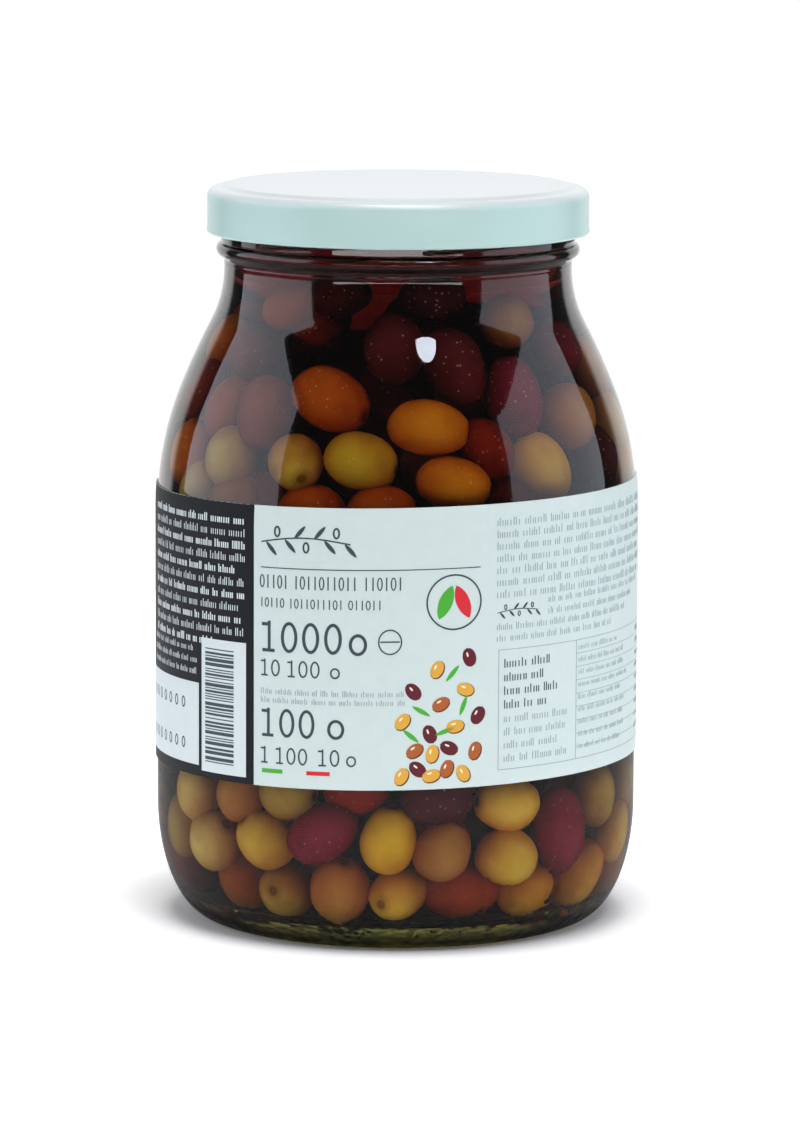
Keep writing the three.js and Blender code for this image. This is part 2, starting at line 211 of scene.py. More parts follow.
def outside_outline():
    bead = BEAD_RADIUS - BEAD_HALF_WIDTH
    lip = FINISH_RADIUS - MOUTH_ROUNDING
    low_finish = BEAD_HEIGHT + BEAD_HALF_WIDTH
    ridge = NECK_RADIUS + PARTING_RIDGE_DEPTH
    return ([(BEARING_INNER_RADIUS * out, PUSH_UP * up) for out, up in PUSH_UP_FORM]
            + arc(BEARING_OUTER_RADIUS, HEEL_HEIGHT, BODY_RADIUS - BEARING_OUTER_RADIUS, HEEL_HEIGHT,
                  -90, 0, HEEL_ROWS)
            + line((BODY_RADIUS, 40), (BODY_RADIUS, 80), 3)
            + shoulder_outline(0, 22)
            + [(NECK_RADIUS, PARTING_RIDGE_HEIGHT - 0.22), (ridge, PARTING_RIDGE_HEIGHT - 0.06),
               (ridge, PARTING_RIDGE_HEIGHT + 0.06), (NECK_RADIUS, PARTING_RIDGE_HEIGHT + 0.22)]
            + arc(bead, BEAD_HEIGHT, BEAD_HALF_WIDTH, BEAD_HALF_WIDTH, -80, 70, 12)
            + line((FINISH_RADIUS, low_finish), (FINISH_RADIUS, MOUTH_HEIGHT - MOUTH_ROUNDING - 0.5), 34)
            + arc(lip, MOUTH_HEIGHT - MOUTH_ROUNDING, MOUTH_ROUNDING, MOUTH_ROUNDING, 0, 90, 5))


def step_up(value, start, end):
    """0 below start and 1 above end, with a smooth rise between."""
    share = min(1.0, max(0.0, (value - start) / (end - start)))
    return share * share * (3 - 2 * share)


def thread_bump(angle, height):
    """How far a screw thread stands out of the glass finish."""
    turn = 360 / THREAD_COUNT
    along = (math.degrees(angle) - THREAD_START_DEG) % turn / THREAD_SPAN_DEG
    if along > 1:
        return 0.0
    middle = THREAD_START_HEIGHT + THREAD_RISE * along + THREAD_THICKNESS / 2
    off = abs(height - middle)
    flank = 1 - step_up(off, THREAD_THICKNESS * 0.3, THREAD_THICKNESS * 0.75)
    ends = step_up(along, 0, 0.05) * (1 - step_up(along, 0.95, 1))
    return THREAD_DEPTH * flank * ends


# Plain numerals moulded into the heel of the glass, as strokes that follow it round at about HEEL_RADIUS
NUMERAL_HEIGHT = 8.0
NUMERAL_WIDTH = 4.8
NUMERAL_PITCH = 8.2
NUMERAL_STROKE = 0.55
NUMERAL_RELIEF = 0.08
NUMERAL_ANGLE_DEG = 19.0
NUMERAL_FOOT = 9.3
NUMERAL_COLUMNS, HEEL_ROWS = 110, 126
HEEL_RADIUS = 51.0


def oval(centre_x, centre_y, half_x, half_y, count=20):
    turns = [2 * math.pi * i / count for i in range(count + 1)]
    return [(centre_x + half_x * math.cos(t), centre_y + half_y * math.sin(t)) for t in turns]


NUMERAL_ONE = [[(0.3, 0.75), (0.55, 1.0), (0.55, 0.0)]]
NUMERAL_NOUGHT = [oval(0.5, 0.5, 0.5, 0.5)]


def distance_to_strokes(x, y, strokes):
    best = 1e9
    for stroke in strokes:
        for (ax, ay), (bx, by) in zip(stroke, stroke[1:]):
            dx, dy = bx - ax, by - ay
            share = min(1, max(0, ((x - ax) * dx + (y - ay) * dy) / (dx * dx + dy * dy)))
            best = min(best, math.hypot(x - ax - share * dx, y - ay - share * dy))
    return best


def numeral_strokes():
    placed = []
    for i, shape in enumerate([NUMERAL_ONE, NUMERAL_NOUGHT, NUMERAL_NOUGHT, NUMERAL_NOUGHT]):
        for stroke in shape:
            placed.append([(i * NUMERAL_PITCH + x * NUMERAL_WIDTH, y * NUMERAL_HEIGHT) for x, y in stroke])
    return placed


NUMERALS = numeral_strokes()
NUMERALS_LENGTH = 3 * NUMERAL_PITCH + NUMERAL_WIDTH


def numeral_bump(angle, height):
    along = (angle - math.radians(NUMERAL_ANGLE_DEG)) * HEEL_RADIUS
    up = height - NUMERAL_FOOT
    if not (-1 < along < NUMERALS_LENGTH + 1 and -1 < up < NUMERAL_HEIGHT + 1):
        return 0.0
    off = distance_to_strokes(along, up, NUMERALS)
    return NUMERAL_RELIEF * (1 - step_up(off, NUMERAL_STROKE * 0.3, NUMERAL_STROKE * 1.6))


def glass_bump(angle, radius, height):
    if radius > FINISH_RADIUS - 0.05 and BEAD_HEIGHT + BEAD_HALF_WIDTH < height < MOUTH_HEIGHT - 1.5:
        return thread_bump(angle, height)
    if radius > BEARING_OUTER_RADIUS and height < HEEL_HEIGHT:
        return numeral_bump(angle, height)
    return 0.0


def even_angles(count):
    return [2 * math.pi * i / count for i in range(count)]


def glass_angles():
    """Even steps all round, and finer ones where the moulded numerals are."""
    coarse = even_angles(144)
    start = math.radians(NUMERAL_ANGLE_DEG - 1.5)
    end = start + (NUMERALS_LENGTH + 3) / HEEL_RADIUS
    fine = list(np.linspace(start, end, NUMERAL_COLUMNS))
    return sorted([a for a in coarse if not start - 0.01 < a < end + 0.01] + fine)


# Materials

def new_material(name):
    material = bpy.data.materials.new(name)
    material.use_nodes = True
    tree = material.node_tree
    return material, tree, tree.nodes["Principled BSDF"]


def node(tree, kind, inputs=None, **settings):
    made = tree.nodes.new(kind)
    for key, value in settings.items():
        setattr(made, key, value)
    for key, value in (inputs or {}).items():
        socket = made.inputs[key]
        if isinstance(value, bpy.types.NodeSocket):
            tree.links.new(value, socket)
        else:
            socket.default_value = value
    return made


def object_place(tree):
    return node(tree, "ShaderNodeTexCoord").outputs["Object"]


def share_of_height(tree, low_mm, high_mm, at_low=0.0, at_high=1.0):
    """at_low up to the first height and at_high from the second one on."""
    height = node(tree, "ShaderNodeSeparateXYZ", {0: object_place(tree)}).outputs[2]
    return node(tree, "ShaderNodeMapRange",
                {"Value": height, "From Min": low_mm * MM, "From Max": high_mm * MM,
                 "To Min": at_low, "To Max": at_high}).outputs[0]


def noise(tree, scale, detail=3.0, roughness=0.5):
    """Noise in object space, scale in features a metre."""
    return node(tree, "ShaderNodeTexNoise", {"Vector": object_place(tree), "Scale": scale,
                                             "Detail": detail, "Roughness": roughness}).outputs["Fac"]


def dots(tree, scale):
    cells = node(tree, "ShaderNodeTexVoronoi", {"Vector": object_place(tree), "Scale": scale})
    return cells.outputs["Distance"]


def add_relief(tree, shader, height, strength, depth_mm):
    """Relief in the shading, on top of any that the shader already has."""
    values = {"Strength": strength, "Distance": depth_mm * MM, "Height": height}
    if shader.inputs["Normal"].is_linked:
        values["Normal"] = shader.inputs["Normal"].links[0].from_socket
    made = node(tree, "ShaderNodeBump", values)
    tree.links.new(made.outputs["Normal"], shader.inputs["Normal"])


def make_clear(shader, index):
    shader.inputs["Transmission Weight"].default_value = 1.0
    shader.inputs["IOR"].default_value = index
    shader.inputs["Roughness"].default_value = 0.0


def ramp(tree, factor, stops):
    made = node(tree, "ShaderNodeValToRGB", {"Fac": factor})
    elements = made.color_ramp.elements
    while len(elements) < len(stops):
        elements.new(0.5)
    for element, (place, colour) in zip(elements, stops):
        element.position, element.color = place, colour
    return made.outputs["Color"]


def grey(value):
    return (value, value, value, 1.0)


def mixed(tree, factor, first, second, blend="MIX"):
    made = node(tree, "ShaderNodeMix", data_type="RGBA", blend_type=blend)
    for key, value in ((0, factor), (6, first), (7, second)):
        if isinstance(value, bpy.types.NodeSocket):
            tree.links.new(value, made.inputs[key])
        else:
            made.inputs[key].default_value = value
    return made.outputs[2]


def absorption(tree, colour, density):
    depth = node(tree, "ShaderNodeVolumeAbsorption")
    depth.inputs["Color"].default_value = (*colour, 1)
    depth.inputs["Density"].default_value = density
    tree.links.new(depth.outputs["Volume"], tree.nodes["Material Output"].inputs["Volume"])


GLASS_DEPTH_TINT, GLASS_DEPTH_DENSITY = (0.55, 0.62, 0.25), 40.0
GLASS_STREAK_SCALE = 40.0
GLASS_STREAKS = [(0.3, (0.985, 0.995, 0.988, 1)), (0.7, (0.99, 1.0, 0.99, 1))]
GLASS_RIPPLE_SCALE, GLASS_RIPPLE_STRENGTH, GLASS_RIPPLE_DEPTH = 55.0, 0.02, 1.0
STIPPLE_TOP, STIPPLE_SCALE, STIPPLE_STRENGTH, STIPPLE_DEPTH = 8.0, 380.0, 0.35, 1.2
FOOT_PAINTED_SHADE_TOP = 5.8
# Shares of the foot's height with the colour there: green at the bearing ring, dark painted shade above it,
# clear at the top
FOOT_GREEN_AND_PAINTED_SHADE = [(0.0, (0.5, 0.55, 0.08, 1)), (0.1, (0.3, 0.32, 0.05, 1)), (0.22, (0.07, 0.06, 0.03, 1)),
              (0.6, (0.09, 0.07, 0.04, 1)), (1.0, (1, 1, 1, 1))]
BRINE_TINT, BRINE_DENSITY = (0.66, 0.06, 0.2), 84.0


def glass_material(name, index, tinted_and_foot_shaded):
    """Clear glass. The tint of its depth is on the outer faces only, so it runs on through the brine.
    The thick foot is darker by painted shade, a colour that depends on the height alone."""
    material, tree, shader = new_material(name)
    make_clear(shader, index)
    tint = ramp(tree, noise(tree, GLASS_STREAK_SCALE, 2.0), GLASS_STREAKS)
    if tinted_and_foot_shaded:
        absorption(tree, GLASS_DEPTH_TINT, GLASS_DEPTH_DENSITY)
        # Painted shade: the foot's glass colour darkens by height, and stays green at the bearing ring
        up = share_of_height(tree, 0.0, FOOT_PAINTED_SHADE_TOP)
        tint = mixed(tree, 1.0, tint, ramp(tree, up, FOOT_GREEN_AND_PAINTED_SHADE), "MULTIPLY")
    tree.links.new(tint, shader.inputs["Base Color"])
    add_relief(tree, shader, noise(tree, GLASS_RIPPLE_SCALE, 1.0), GLASS_RIPPLE_STRENGTH, GLASS_RIPPLE_DEPTH)
    # The fine stipple that the mould leaves on the foot
    low = share_of_height(tree, 0.0, STIPPLE_TOP, 1.0, 0.0)
    stipple = node(tree, "ShaderNodeMath", {0: dots(tree, STIPPLE_SCALE), 1: low}, operation="MULTIPLY")
    add_relief(tree, shader, stipple.outputs[0], STIPPLE_STRENGTH, STIPPLE_DEPTH)
    return material


def brine_material():
    """Only its colour in depth: the step in optical density is on the glass that it wets."""
    material, tree, shader = new_material("dark_brine")
    make_clear(shader, 1.0)
    shader.inputs["Base Color"].default_value = (1, 1, 1, 1)
    absorption(tree, BRINE_TINT, BRINE_DENSITY)
    return material


# Stops from an olive's middle at 0 to its stem end at 1, with how strong the dark scar is there
STEM_SCAR = [(0.86, grey(0)), (0.97, grey(0.45)), (0.988, grey(0.9)), (1.0, grey(0.8))]
SKIN_PATCH_SCALE, SKIN_DOT_SCALE, SKIN_GRAIN_SCALE = 160.0, 620.0, 900.0
SKIN_DOT_COLOUR, SCAR_COLOUR = (0.9, 0.7, 0.45, 1), (0.3, 0.22, 0.2, 1)


def olive_material(name, mottle, darker):
    """Olive skin: the olive's tint, made lighter lower in the jar as painted light, with cloudy patches, fine
    pale dots and a dark stem scar.
    """
    material, tree, shader = new_material(name)
    tint = node(tree, "ShaderNodeAttribute", attribute_name="tint").outputs["Color"]
    shade = mixed(tree, 1.0, tint, darker, "MULTIPLY")
    cloud = ramp(tree, noise(tree, SKIN_PATCH_SCALE), [(0.42, grey(0)), (0.72, grey(mottle))])
    patchy = mixed(tree, cloud, tint, shade)
    dot = ramp(tree, dots(tree, SKIN_DOT_SCALE), [(0.06, grey(0.7)), (0.17, grey(0))])
    dotted = mixed(tree, dot, patchy, mixed(tree, 0.5, shade, SKIN_DOT_COLOUR))
    along = node(tree, "ShaderNodeAttribute", attribute_name="along").outputs["Fac"]
    scar_place = ramp(tree, along, STEM_SCAR)
    scar = mixed(tree, 1.0, shade, SCAR_COLOUR, "MULTIPLY")
    tree.links.new(mixed(tree, scar_place, dotted, scar), shader.inputs["Base Color"])
    shader.inputs["Roughness"].default_value = 0.5
    shader.inputs["IOR"].default_value = 1.12
    add_relief(tree, shader, noise(tree, SKIN_GRAIN_SCALE, 2.0), 0.15, 0.2)
    return material


# The skirt's deeper mint is painted shade and the whiter top is painted light
ENAMEL_SHADED_SKIRT = [(0.3, linear(178, 206, 202)), (0.7, linear(181, 208, 204))]
ENAMEL_LIT_TOP = linear(200, 205, 207)


def enamel_material():
    """White lacquer, slightly deeper and mintier on the skirt than on top: painted shade on the skirt,
    painted light on the top.
    """
    material, tree, shader = new_material("lid_white_enamel")
    skirt = ramp(tree, noise(tree, 60.0), ENAMEL_SHADED_SKIRT)
    lit_top_share = share_of_height(tree, LID_RING_HEIGHT - LID_CORNER, LID_RING_HEIGHT)
    tree.links.new(mixed(tree, lit_top_share, skirt, ENAMEL_LIT_TOP), shader.inputs["Base Color"])
    shader.inputs["Roughness"].default_value = 0.32
    add_relief(tree, shader, noise(tree, 700.0, 2.0), 0.04, 0.3)
    return material


def paper_material(name, colour, roughness=0.5, variation=0.012):
    material, tree, shader = new_material(name)
    light = tuple(min(1, c * (1 + variation)) for c in colour[:3]) + (1,)
    dark = tuple(c * (1 - variation) for c in colour[:3]) + (1,)
    speckled = ramp(tree, noise(tree, 300.0, 4.0), [(0.35, dark), (0.65, light)])
    tree.links.new(speckled, shader.inputs["Base Color"])
    shader.inputs["Roughness"].default_value = roughness
    shader.inputs["IOR"].default_value = 1.3
    add_relief(tree, shader, noise(tree, 2500.0, 2.0), 0.02, 0.05)
    return material


# Geometry node trees

class Tree:
    """A geometry node group being built, with the few kinds of node that it needs in short form."""

    def __init__(self, name, inputs):
        self.group = bpy.data.node_groups.new(name, "GeometryNodeTree")
        face = self.group.interface
        face.new_socket("Geometry", in_out="INPUT", socket_type="NodeSocketGeometry")
        for label, kind in inputs:
            face.new_socket(label, in_out="INPUT", socket_type=kind)
        face.new_socket("Geometry", in_out="OUTPUT", socket_type="NodeSocketGeometry")
        self.start = self.group.nodes.new("NodeGroupInput").outputs
        self.end = self.group.nodes.new("NodeGroupOutput").inputs

    def add(self, kind, inputs=None, **settings):
        return node(self.group, kind, inputs, **settings)

    def maths(self, operation, *values):
        made = self.add("ShaderNodeMath", dict(enumerate(values)), operation=operation)
        return made.outputs[0]

    def vector(self, x, y, z):
        return self.add("ShaderNodeCombineXYZ", {0: x, 1: y, 2: z}).outputs[0]

    def named(self, label, kind):
        value = self.add("GeometryNodeInputNamedAttribute", {"Name": label}, data_type=kind)
        return value.outputs["Attribute"]

    def apply(self, piece, values):
        """Runs the tree on a piece, whose mesh then holds the result as plain faces."""
        modifier = piece.modifiers.new(self.group.name, "NODES")
        modifier.node_group = self.group
        for item in self.group.interface.items_tree:
            if item.item_type == "SOCKET" and item.in_out == "INPUT" and item.name in values:
                modifier[item.identifier] = values[item.name]
        bpy.context.view_layer.update()
        evaluated = piece.evaluated_get(bpy.context.evaluated_depsgraph_get())
        made = bpy.data.meshes.new_from_object(evaluated, preserve_all_data_layers=True,
                                               depsgraph=bpy.context.evaluated_depsgraph_get())
        piece.modifiers.clear()
        made.name = piece.name
        piece.data = made


def olive_tree():
    """Sets a slightly lopsided olive on every point, turned and sized by the point's own values."""
    tree = Tree("Olives on points", [("Sides", "NodeSocketInt"), ("Rings", "NodeSocketInt"),
                                     ("Lumps", "NodeSocketFloat"), ("Skin", "NodeSocketMaterial")])
    maths = tree.maths
    ball = tree.add("GeometryNodeMeshUVSphere",
                    {"Segments": tree.start["Sides"], "Rings": tree.start["Rings"], "Radius": 1.0})
    parts = tree.add("ShaderNodeSeparateXYZ", {0: tree.add("GeometryNodeInputPosition").outputs[0]}).outputs
    kept = tree.add("GeometryNodeStoreNamedAttribute", {"Geometry": ball.outputs["Mesh"], "Name": "along",
                                                        "Value": parts[2]}, data_type="FLOAT", domain="POINT")
    taper = maths("SUBTRACT", 1.0, maths("MULTIPLY", parts[2], 0.06))
    dimple = maths("MULTIPLY", maths("MAXIMUM", maths("SUBTRACT", parts[2], 0.955), 0.0), 1.6)
    shaped = tree.vector(maths("MULTIPLY", parts[0], taper), maths("MULTIPLY", parts[1], taper),
                         maths("SUBTRACT", parts[2], dimple))
    olive = tree.add("GeometryNodeSetPosition", {"Geometry": kept.outputs[0], "Position": shaped})
    turn = tree.add("FunctionNodeEulerToRotation", {0: tree.named("turn", "FLOAT_VECTOR")})
    copies = tree.add("GeometryNodeInstanceOnPoints",
                      {"Points": tree.start["Geometry"], "Instance": olive.outputs[0],
                       "Rotation": turn.outputs[0], "Scale": tree.named("half_size", "FLOAT_VECTOR")})
    real = tree.add("GeometryNodeRealizeInstances", {0: copies.outputs[0]})
    swell = tree.add("ShaderNodeTexNoise", {"Vector": tree.add("GeometryNodeInputPosition").outputs[0],
                                            "Scale": 110.0, "Detail": 1.0})
    push = maths("MULTIPLY", maths("SUBTRACT", swell.outputs[0], 0.5), tree.start["Lumps"])
    normal = tree.add("GeometryNodeInputNormal").outputs[0]
    offset = tree.add("ShaderNodeVectorMath", {0: normal, "Scale": push}, operation="SCALE").outputs[0]
    uneven = tree.add("GeometryNodeSetPosition", {"Geometry": real.outputs[0], "Offset": offset})
    smooth = tree.add("GeometryNodeSetShadeSmooth", {0: uneven.outputs[0]})
    skinned = tree.add("GeometryNodeSetMaterial",
                       {"Geometry": smooth.outputs[0], "Material": tree.start["Skin"]})
    tree.group.links.new(skinned.outputs[0], tree.end[0])
    return tree


def wrap_tree():
    """Lays a flat label round the glass, in mm: x the way round, y the height on it, z the lift."""
    tree = Tree("Wrap round the jar", [("Body radius", "NodeSocketFloat"), ("Paper", "NodeSocketMaterial")])
    maths, start = tree.maths, tree.start
    radius = start["Body radius"]
    x, y, z = tree.add("ShaderNodeSeparateXYZ", {0: tree.add("GeometryNodeInputPosition").outputs[0]}).outputs
    angle = maths("DIVIDE", x, radius)
    skew = maths("MULTIPLY", maths("SINE", maths("ADD", angle, math.radians(LABEL_SKEW_TURN_DEG))),
                 maths("MULTIPLY", radius, LABEL_SKEW))
    height = maths("ADD", maths("ADD", y, LABEL_BOTTOM), skew)
    above = maths("MAXIMUM", maths("SUBTRACT", height, SHOULDER_START), 0.0)
    level = maths("SQRT", maths("SUBTRACT", SHOULDER_ARC_RADIUS ** 2, maths("MULTIPLY", above, above)))
    glass = maths("SUBTRACT", maths("ADD", radius, level), SHOULDER_ARC_RADIUS)
    out = maths("ADD", glass, z)
    place = tree.vector(maths("MULTIPLY", out, maths("SINE", angle)),
                        maths("MULTIPLY", maths("MULTIPLY", out, maths("COSINE", angle)), -1.0), height)
    metres = tree.add("ShaderNodeVectorMath", {0: place, "Scale": MM}, operation="SCALE").outputs[0]
    laid = tree.add("GeometryNodeSetPosition", {"Geometry": start["Geometry"], "Position": metres})
    printed = tree.add("GeometryNodeSetMaterial", {"Geometry": laid.outputs[0], "Material": start["Paper"]})
    tree.group.links.new(printed.outputs[0], tree.end[0])
    return tree


# Glass, brine and lid

def finished(piece, material=None, replaces=()):
    if material:
        piece.data.materials.clear()
        piece.data.materials.append(material)
    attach(piece, "root")
    if replaces:
        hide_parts(*replaces)


def make_glass():
    mouth = NECK_RADIUS - WALL
    lip = mouth + MOUTH_ROUNDING
    rim = arc(lip, MOUTH_HEIGHT - MOUTH_ROUNDING, MOUTH_ROUNDING, MOUTH_ROUNDING, 90, 180, 5)
    dry = outside_outline() + rim + [(mouth, BRINE_LEVEL)]
    angles = glass_angles()
    jar = turned("jar_glass", dry + cavity_outline(0, 20)[::-1], angles, glass_bump)
    finished(jar, glass_material("jar_glass", GLASS_INDEX, True), ["glass_jar"])
    # Where brine wets the glass, the step in optical density is the small one from glass to brine.
    jar.data.materials.append(glass_material("jar_glass_wet", GLASS_INDEX / BRINE_INDEX, False))
    jar.data.materials.append(glass_material("jar_glass_dry_inside", GLASS_INDEX, False))
    first_wet = (len(dry) - 1) * len(angles)
    first_inside = (len(outside_outline()) + len(rim) - 1) * len(angles)
    for face in jar.data.polygons:
        face.material_index = 1 if face.index >= first_wet else 2 if face.index >= first_inside else 0


def make_brine():
    level = BRINE_LEVEL
    side = cavity_outline(-BRINE_REACH, 20)
    top = side[-1][0]
    surface = [(top, level + 0.25), (top - 0.5, level + 0.08), (top - 1.5, level), (0, level)]
    brine = turned("brine", side + surface, even_angles(144))
    finished(brine, brine_material())


def lug_bump(angle, radius, height):
    """The lugs inside the lid's rim, in the gaps between one thread's end and the next one's start."""
    if radius > LID_RADIUS - LID_SHEET * 0.7 or not LUG_LOW < height < LUG_LOW + LUG_HEIGHT:
        return 0.0
    turn = 360 / THREAD_COUNT
    off = (math.degrees(angle) - LUG_MIDDLE_DEG) % turn
    if min(off, turn - off) > LUG_SPAN_DEG / 2:
        return 0.0
    return LID_RADIUS - LID_SHEET / 2 - LUG_DEPTH - radius


def make_lid():
    inner = LID_RADIUS - LID_SHEET
    curl_centre, curl_height = LID_RADIUS + 0.15 - CURL_RADIUS, LID_RIM_HEIGHT + CURL_RADIUS
    corner, corner_height = LID_RADIUS - LID_CORNER, LID_RING_HEIGHT - LID_CORNER
    inner_corner = LID_CORNER - LID_SHEET
    under_panel, under_ring = LID_PANEL_HEIGHT - LID_SHEET, LID_RING_HEIGHT - LID_SHEET
    outline = ([(0, under_panel), (LID_PANEL_RADIUS - 0.8, under_panel), (LID_PANEL_RADIUS + 0.4, under_ring)]
               + arc(corner, corner_height, inner_corner, inner_corner, 90, 0, 8)
               + [(inner, LUG_LOW + LUG_HEIGHT + 0.15), (inner, LUG_LOW + LUG_HEIGHT - 0.02),
                  (inner, curl_height + CURL_RADIUS)]
               + arc(curl_centre, curl_height, CURL_RADIUS, CURL_RADIUS, -180, 0, 14)
               + [(LID_RADIUS, curl_height + CURL_RADIUS), (LID_RADIUS, corner_height - 1)]
               + arc(corner, corner_height, LID_CORNER, LID_CORNER, 0, 90, 12)
               + [(LID_PANEL_RADIUS + 1.1, LID_RING_HEIGHT), (LID_PANEL_RADIUS + 0.75, LID_RING_HEIGHT + 0.1),
                  (LID_PANEL_RADIUS + 0.3, LID_PANEL_HEIGHT - 0.12), (LID_PANEL_RADIUS, LID_PANEL_HEIGHT),
                  (LID_PANEL_RADIUS - 1, LID_PANEL_HEIGHT), (0, LID_PANEL_HEIGHT)])
    finished(turned("lid", outline, even_angles(180), lug_bump), enamel_material(), ["lid"])


# Olives

def profile(outline):
    """Radius and slope of an outline as functions of height."""
    points = np.array([p for p in outline if p[0] > FLOOR_EDGE_RADIUS - 1e-6 or p[1] > HEEL_HEIGHT])
    heights, radii = points[:, 1], points[:, 0]
    steps = np.linspace(heights[0], heights[-1], 1500)
    smooth = np.interp(steps, heights, radii)
    slopes = np.gradient(smooth, steps)
    return lambda z: float(np.interp(z, steps, smooth)), lambda z: float(np.interp(z, steps, slopes))


outer_radius, outer_slope = profile(arc(BEARING_OUTER_RADIUS, HEEL_HEIGHT, BODY_RADIUS - BEARING_OUTER_RADIUS,
                                        HEEL_HEIGHT, -90, 0, 60) + shoulder_outline(0, 60))
inner_radius, inner_slope = profile(cavity_outline(0, 60)[3:])


def wall_normal(point, slope_at):
    r = math.hypot(point.x, point.y)
    slope = slope_at(point.z)
    return Vector((point.x / r, point.y / r, -slope)).normalized()


def bent(direction, normal, ratio):
    """Snell's law, with the normal against the ray."""
    cosine = -direction.dot(normal)
    root = 1 - ratio * ratio * (1 - cosine * cosine)
    return (ratio * direction + (ratio * cosine - math.sqrt(max(0.0, root))) * normal).normalized()


def walk(start, direction, inside, step, limit):
    """Goes along a ray until the test holds, then halves back to the place where it first does."""
    gone = 0.0
    while gone < limit and not inside(start + direction * gone):
        gone += step
    if gone >= limit:
        return None
    low, high = max(0.0, gone - step), gone
    for _ in range(24):
        middle = (low + high) / 2
        low, high = (low, middle) if inside(start + direction * middle) else (middle, high)
    return start + direction * high


CAMERA_TURN = Matrix.Rotation(math.pi / 2 - CAMERA_PITCH, 3, "X") @ Matrix.Rotation(CAMERA_ROLL, 3, "Z")
GLASS_RATIO, BRINE_RATIO = 1 / GLASS_INDEX, GLASS_INDEX / BRINE_INDEX


def seen_place(x, y, depth):
    """Where the sight line through a photo pixel, bent by glass and brine, is depth mm behind the wall."""
    ray = Vector(((x - IMAGE_WIDTH / 2) / FOCAL_PIXELS, (IMAGE_HEIGHT / 2 - y) / FOCAL_PIXELS, -1.0))
    direction = (CAMERA_TURN @ ray).normalized()
    eye = Vector(CAMERA_PLACE)
    # The walk starts a little in front of the jar
    near = eye + direction * (-CAMERA_PLACE[1] - 75)
    hit = walk(near, direction, lambda p: math.hypot(p.x, p.y) < outer_radius(p.z), 0.5, 160)
    if hit is None:
        return None
    direction = bent(direction, wall_normal(hit, outer_slope), GLASS_RATIO)
    hit = walk(hit, direction, lambda p: math.hypot(p.x, p.y) < inner_radius(p.z), 0.5, 60)
    if hit is None:
        return None
    direction = bent(direction, wall_normal(hit, inner_slope), BRINE_RATIO)

    def deep(p):
        slope = inner_slope(p.z)
        return (inner_radius(p.z) - math.hypot(p.x, p.y)) / math.hypot(1, slope) > depth
    return walk(hit, direction, deep, 0.25, 60)


FLOOR_TOP = PUSH_UP + FLOOR_THICKNESS
SPHERE_POINTS = [Vector((math.cos(a) * math.cos(b), math.sin(a) * math.cos(b), math.sin(b)))
                 for a in np.linspace(0, 2 * math.pi, 12, endpoint=False)
                 for b in np.radians([-90, -60, -30, 0, 30, 60, 90])]


class Olive:
    """One olive: centre in mm, long axis, half length and half width, and the name of its tint.
    It is moved inwards until it clears the glass."""

    def __init__(self, centre, axis, length, width, kind):
        self.centre, self.axis, self.kind = Vector(centre), axis.normalized(), kind
        self.length, self.width = length / 2, width / 2
        self.move_inside()

    def clear_of_wall(self):
        turn = self.axis.to_track_quat("Z", "Y")
        for p in SPHERE_POINTS:
            q = self.centre + turn @ Vector((p.x * self.width, p.y * self.width, p.z * self.length))
            out = math.hypot(q.x, q.y)
            fall = (FLOOR_TOP - FLOOR_EDGE_HEIGHT) * step_up(out, 20, FLOOR_EDGE_RADIUS)
            if q.z < FLOOR_TOP - fall + 0.2:
                return False
            if q.z > FLOOR_EDGE_HEIGHT and out > inner_radius(q.z) - 0.15:
                return False
            if q.z <= FLOOR_EDGE_HEIGHT and out > FLOOR_EDGE_RADIUS:
                return False
        return True

    def move_inside(self):
        for _ in range(60):
            if self.clear_of_wall():
                return
            inwards = Vector((-self.centre.x, -self.centre.y, 0)).normalized() * 0.25
            if self.centre.z < 16:
                inwards.z = 0.2
            self.centre += inwards

    def balls(self):
        reach = self.length - self.width
        return [(self.centre + self.axis * (reach * s), self.width) for s in (-1, 0, 1)]


def wall_frame(point):
    """Directions at a place near the wall: round the jar, up the wall and out of it."""
    angle = math.atan2(point.x, -point.y)
    out = wall_normal(point, inner_slope)
    round_jar = Vector((math.cos(angle), math.sin(angle), 0))
    return round_jar, out.cross(round_jar), out


def long_axis(round_jar, up, out, turn, lean):
    """An olive's long axis, turned in the plane of the wall and leant out of it."""
    return (round_jar * math.cos(turn) + up * math.sin(turn)) * math.cos(lean) + out * math.sin(lean)


# Skin tints as they look under plain light, 0 to 255
TINTS = {
    "yellow": (208, 166, 38), "gold": (206, 168, 62), "amber": (206, 118, 8), "orange": (184, 82, 4),
    "tan": (200, 174, 98), "brown": (166, 112, 54), "olive": (162, 134, 60),
    "russet": (182, 96, 50), "mauve": (142, 72, 66), "red": (140, 34, 14), "burgundy": (122, 28, 50),
    "dark": (88, 16, 24), "plum": (76, 20, 36),
}
GOLDEN, BROWNISH = ("yellow", "gold", "amber", "orange"), ("tan", "brown", "olive", "russet", "mauve")
WINE_DARK = ("red", "burgundy", "dark", "plum")

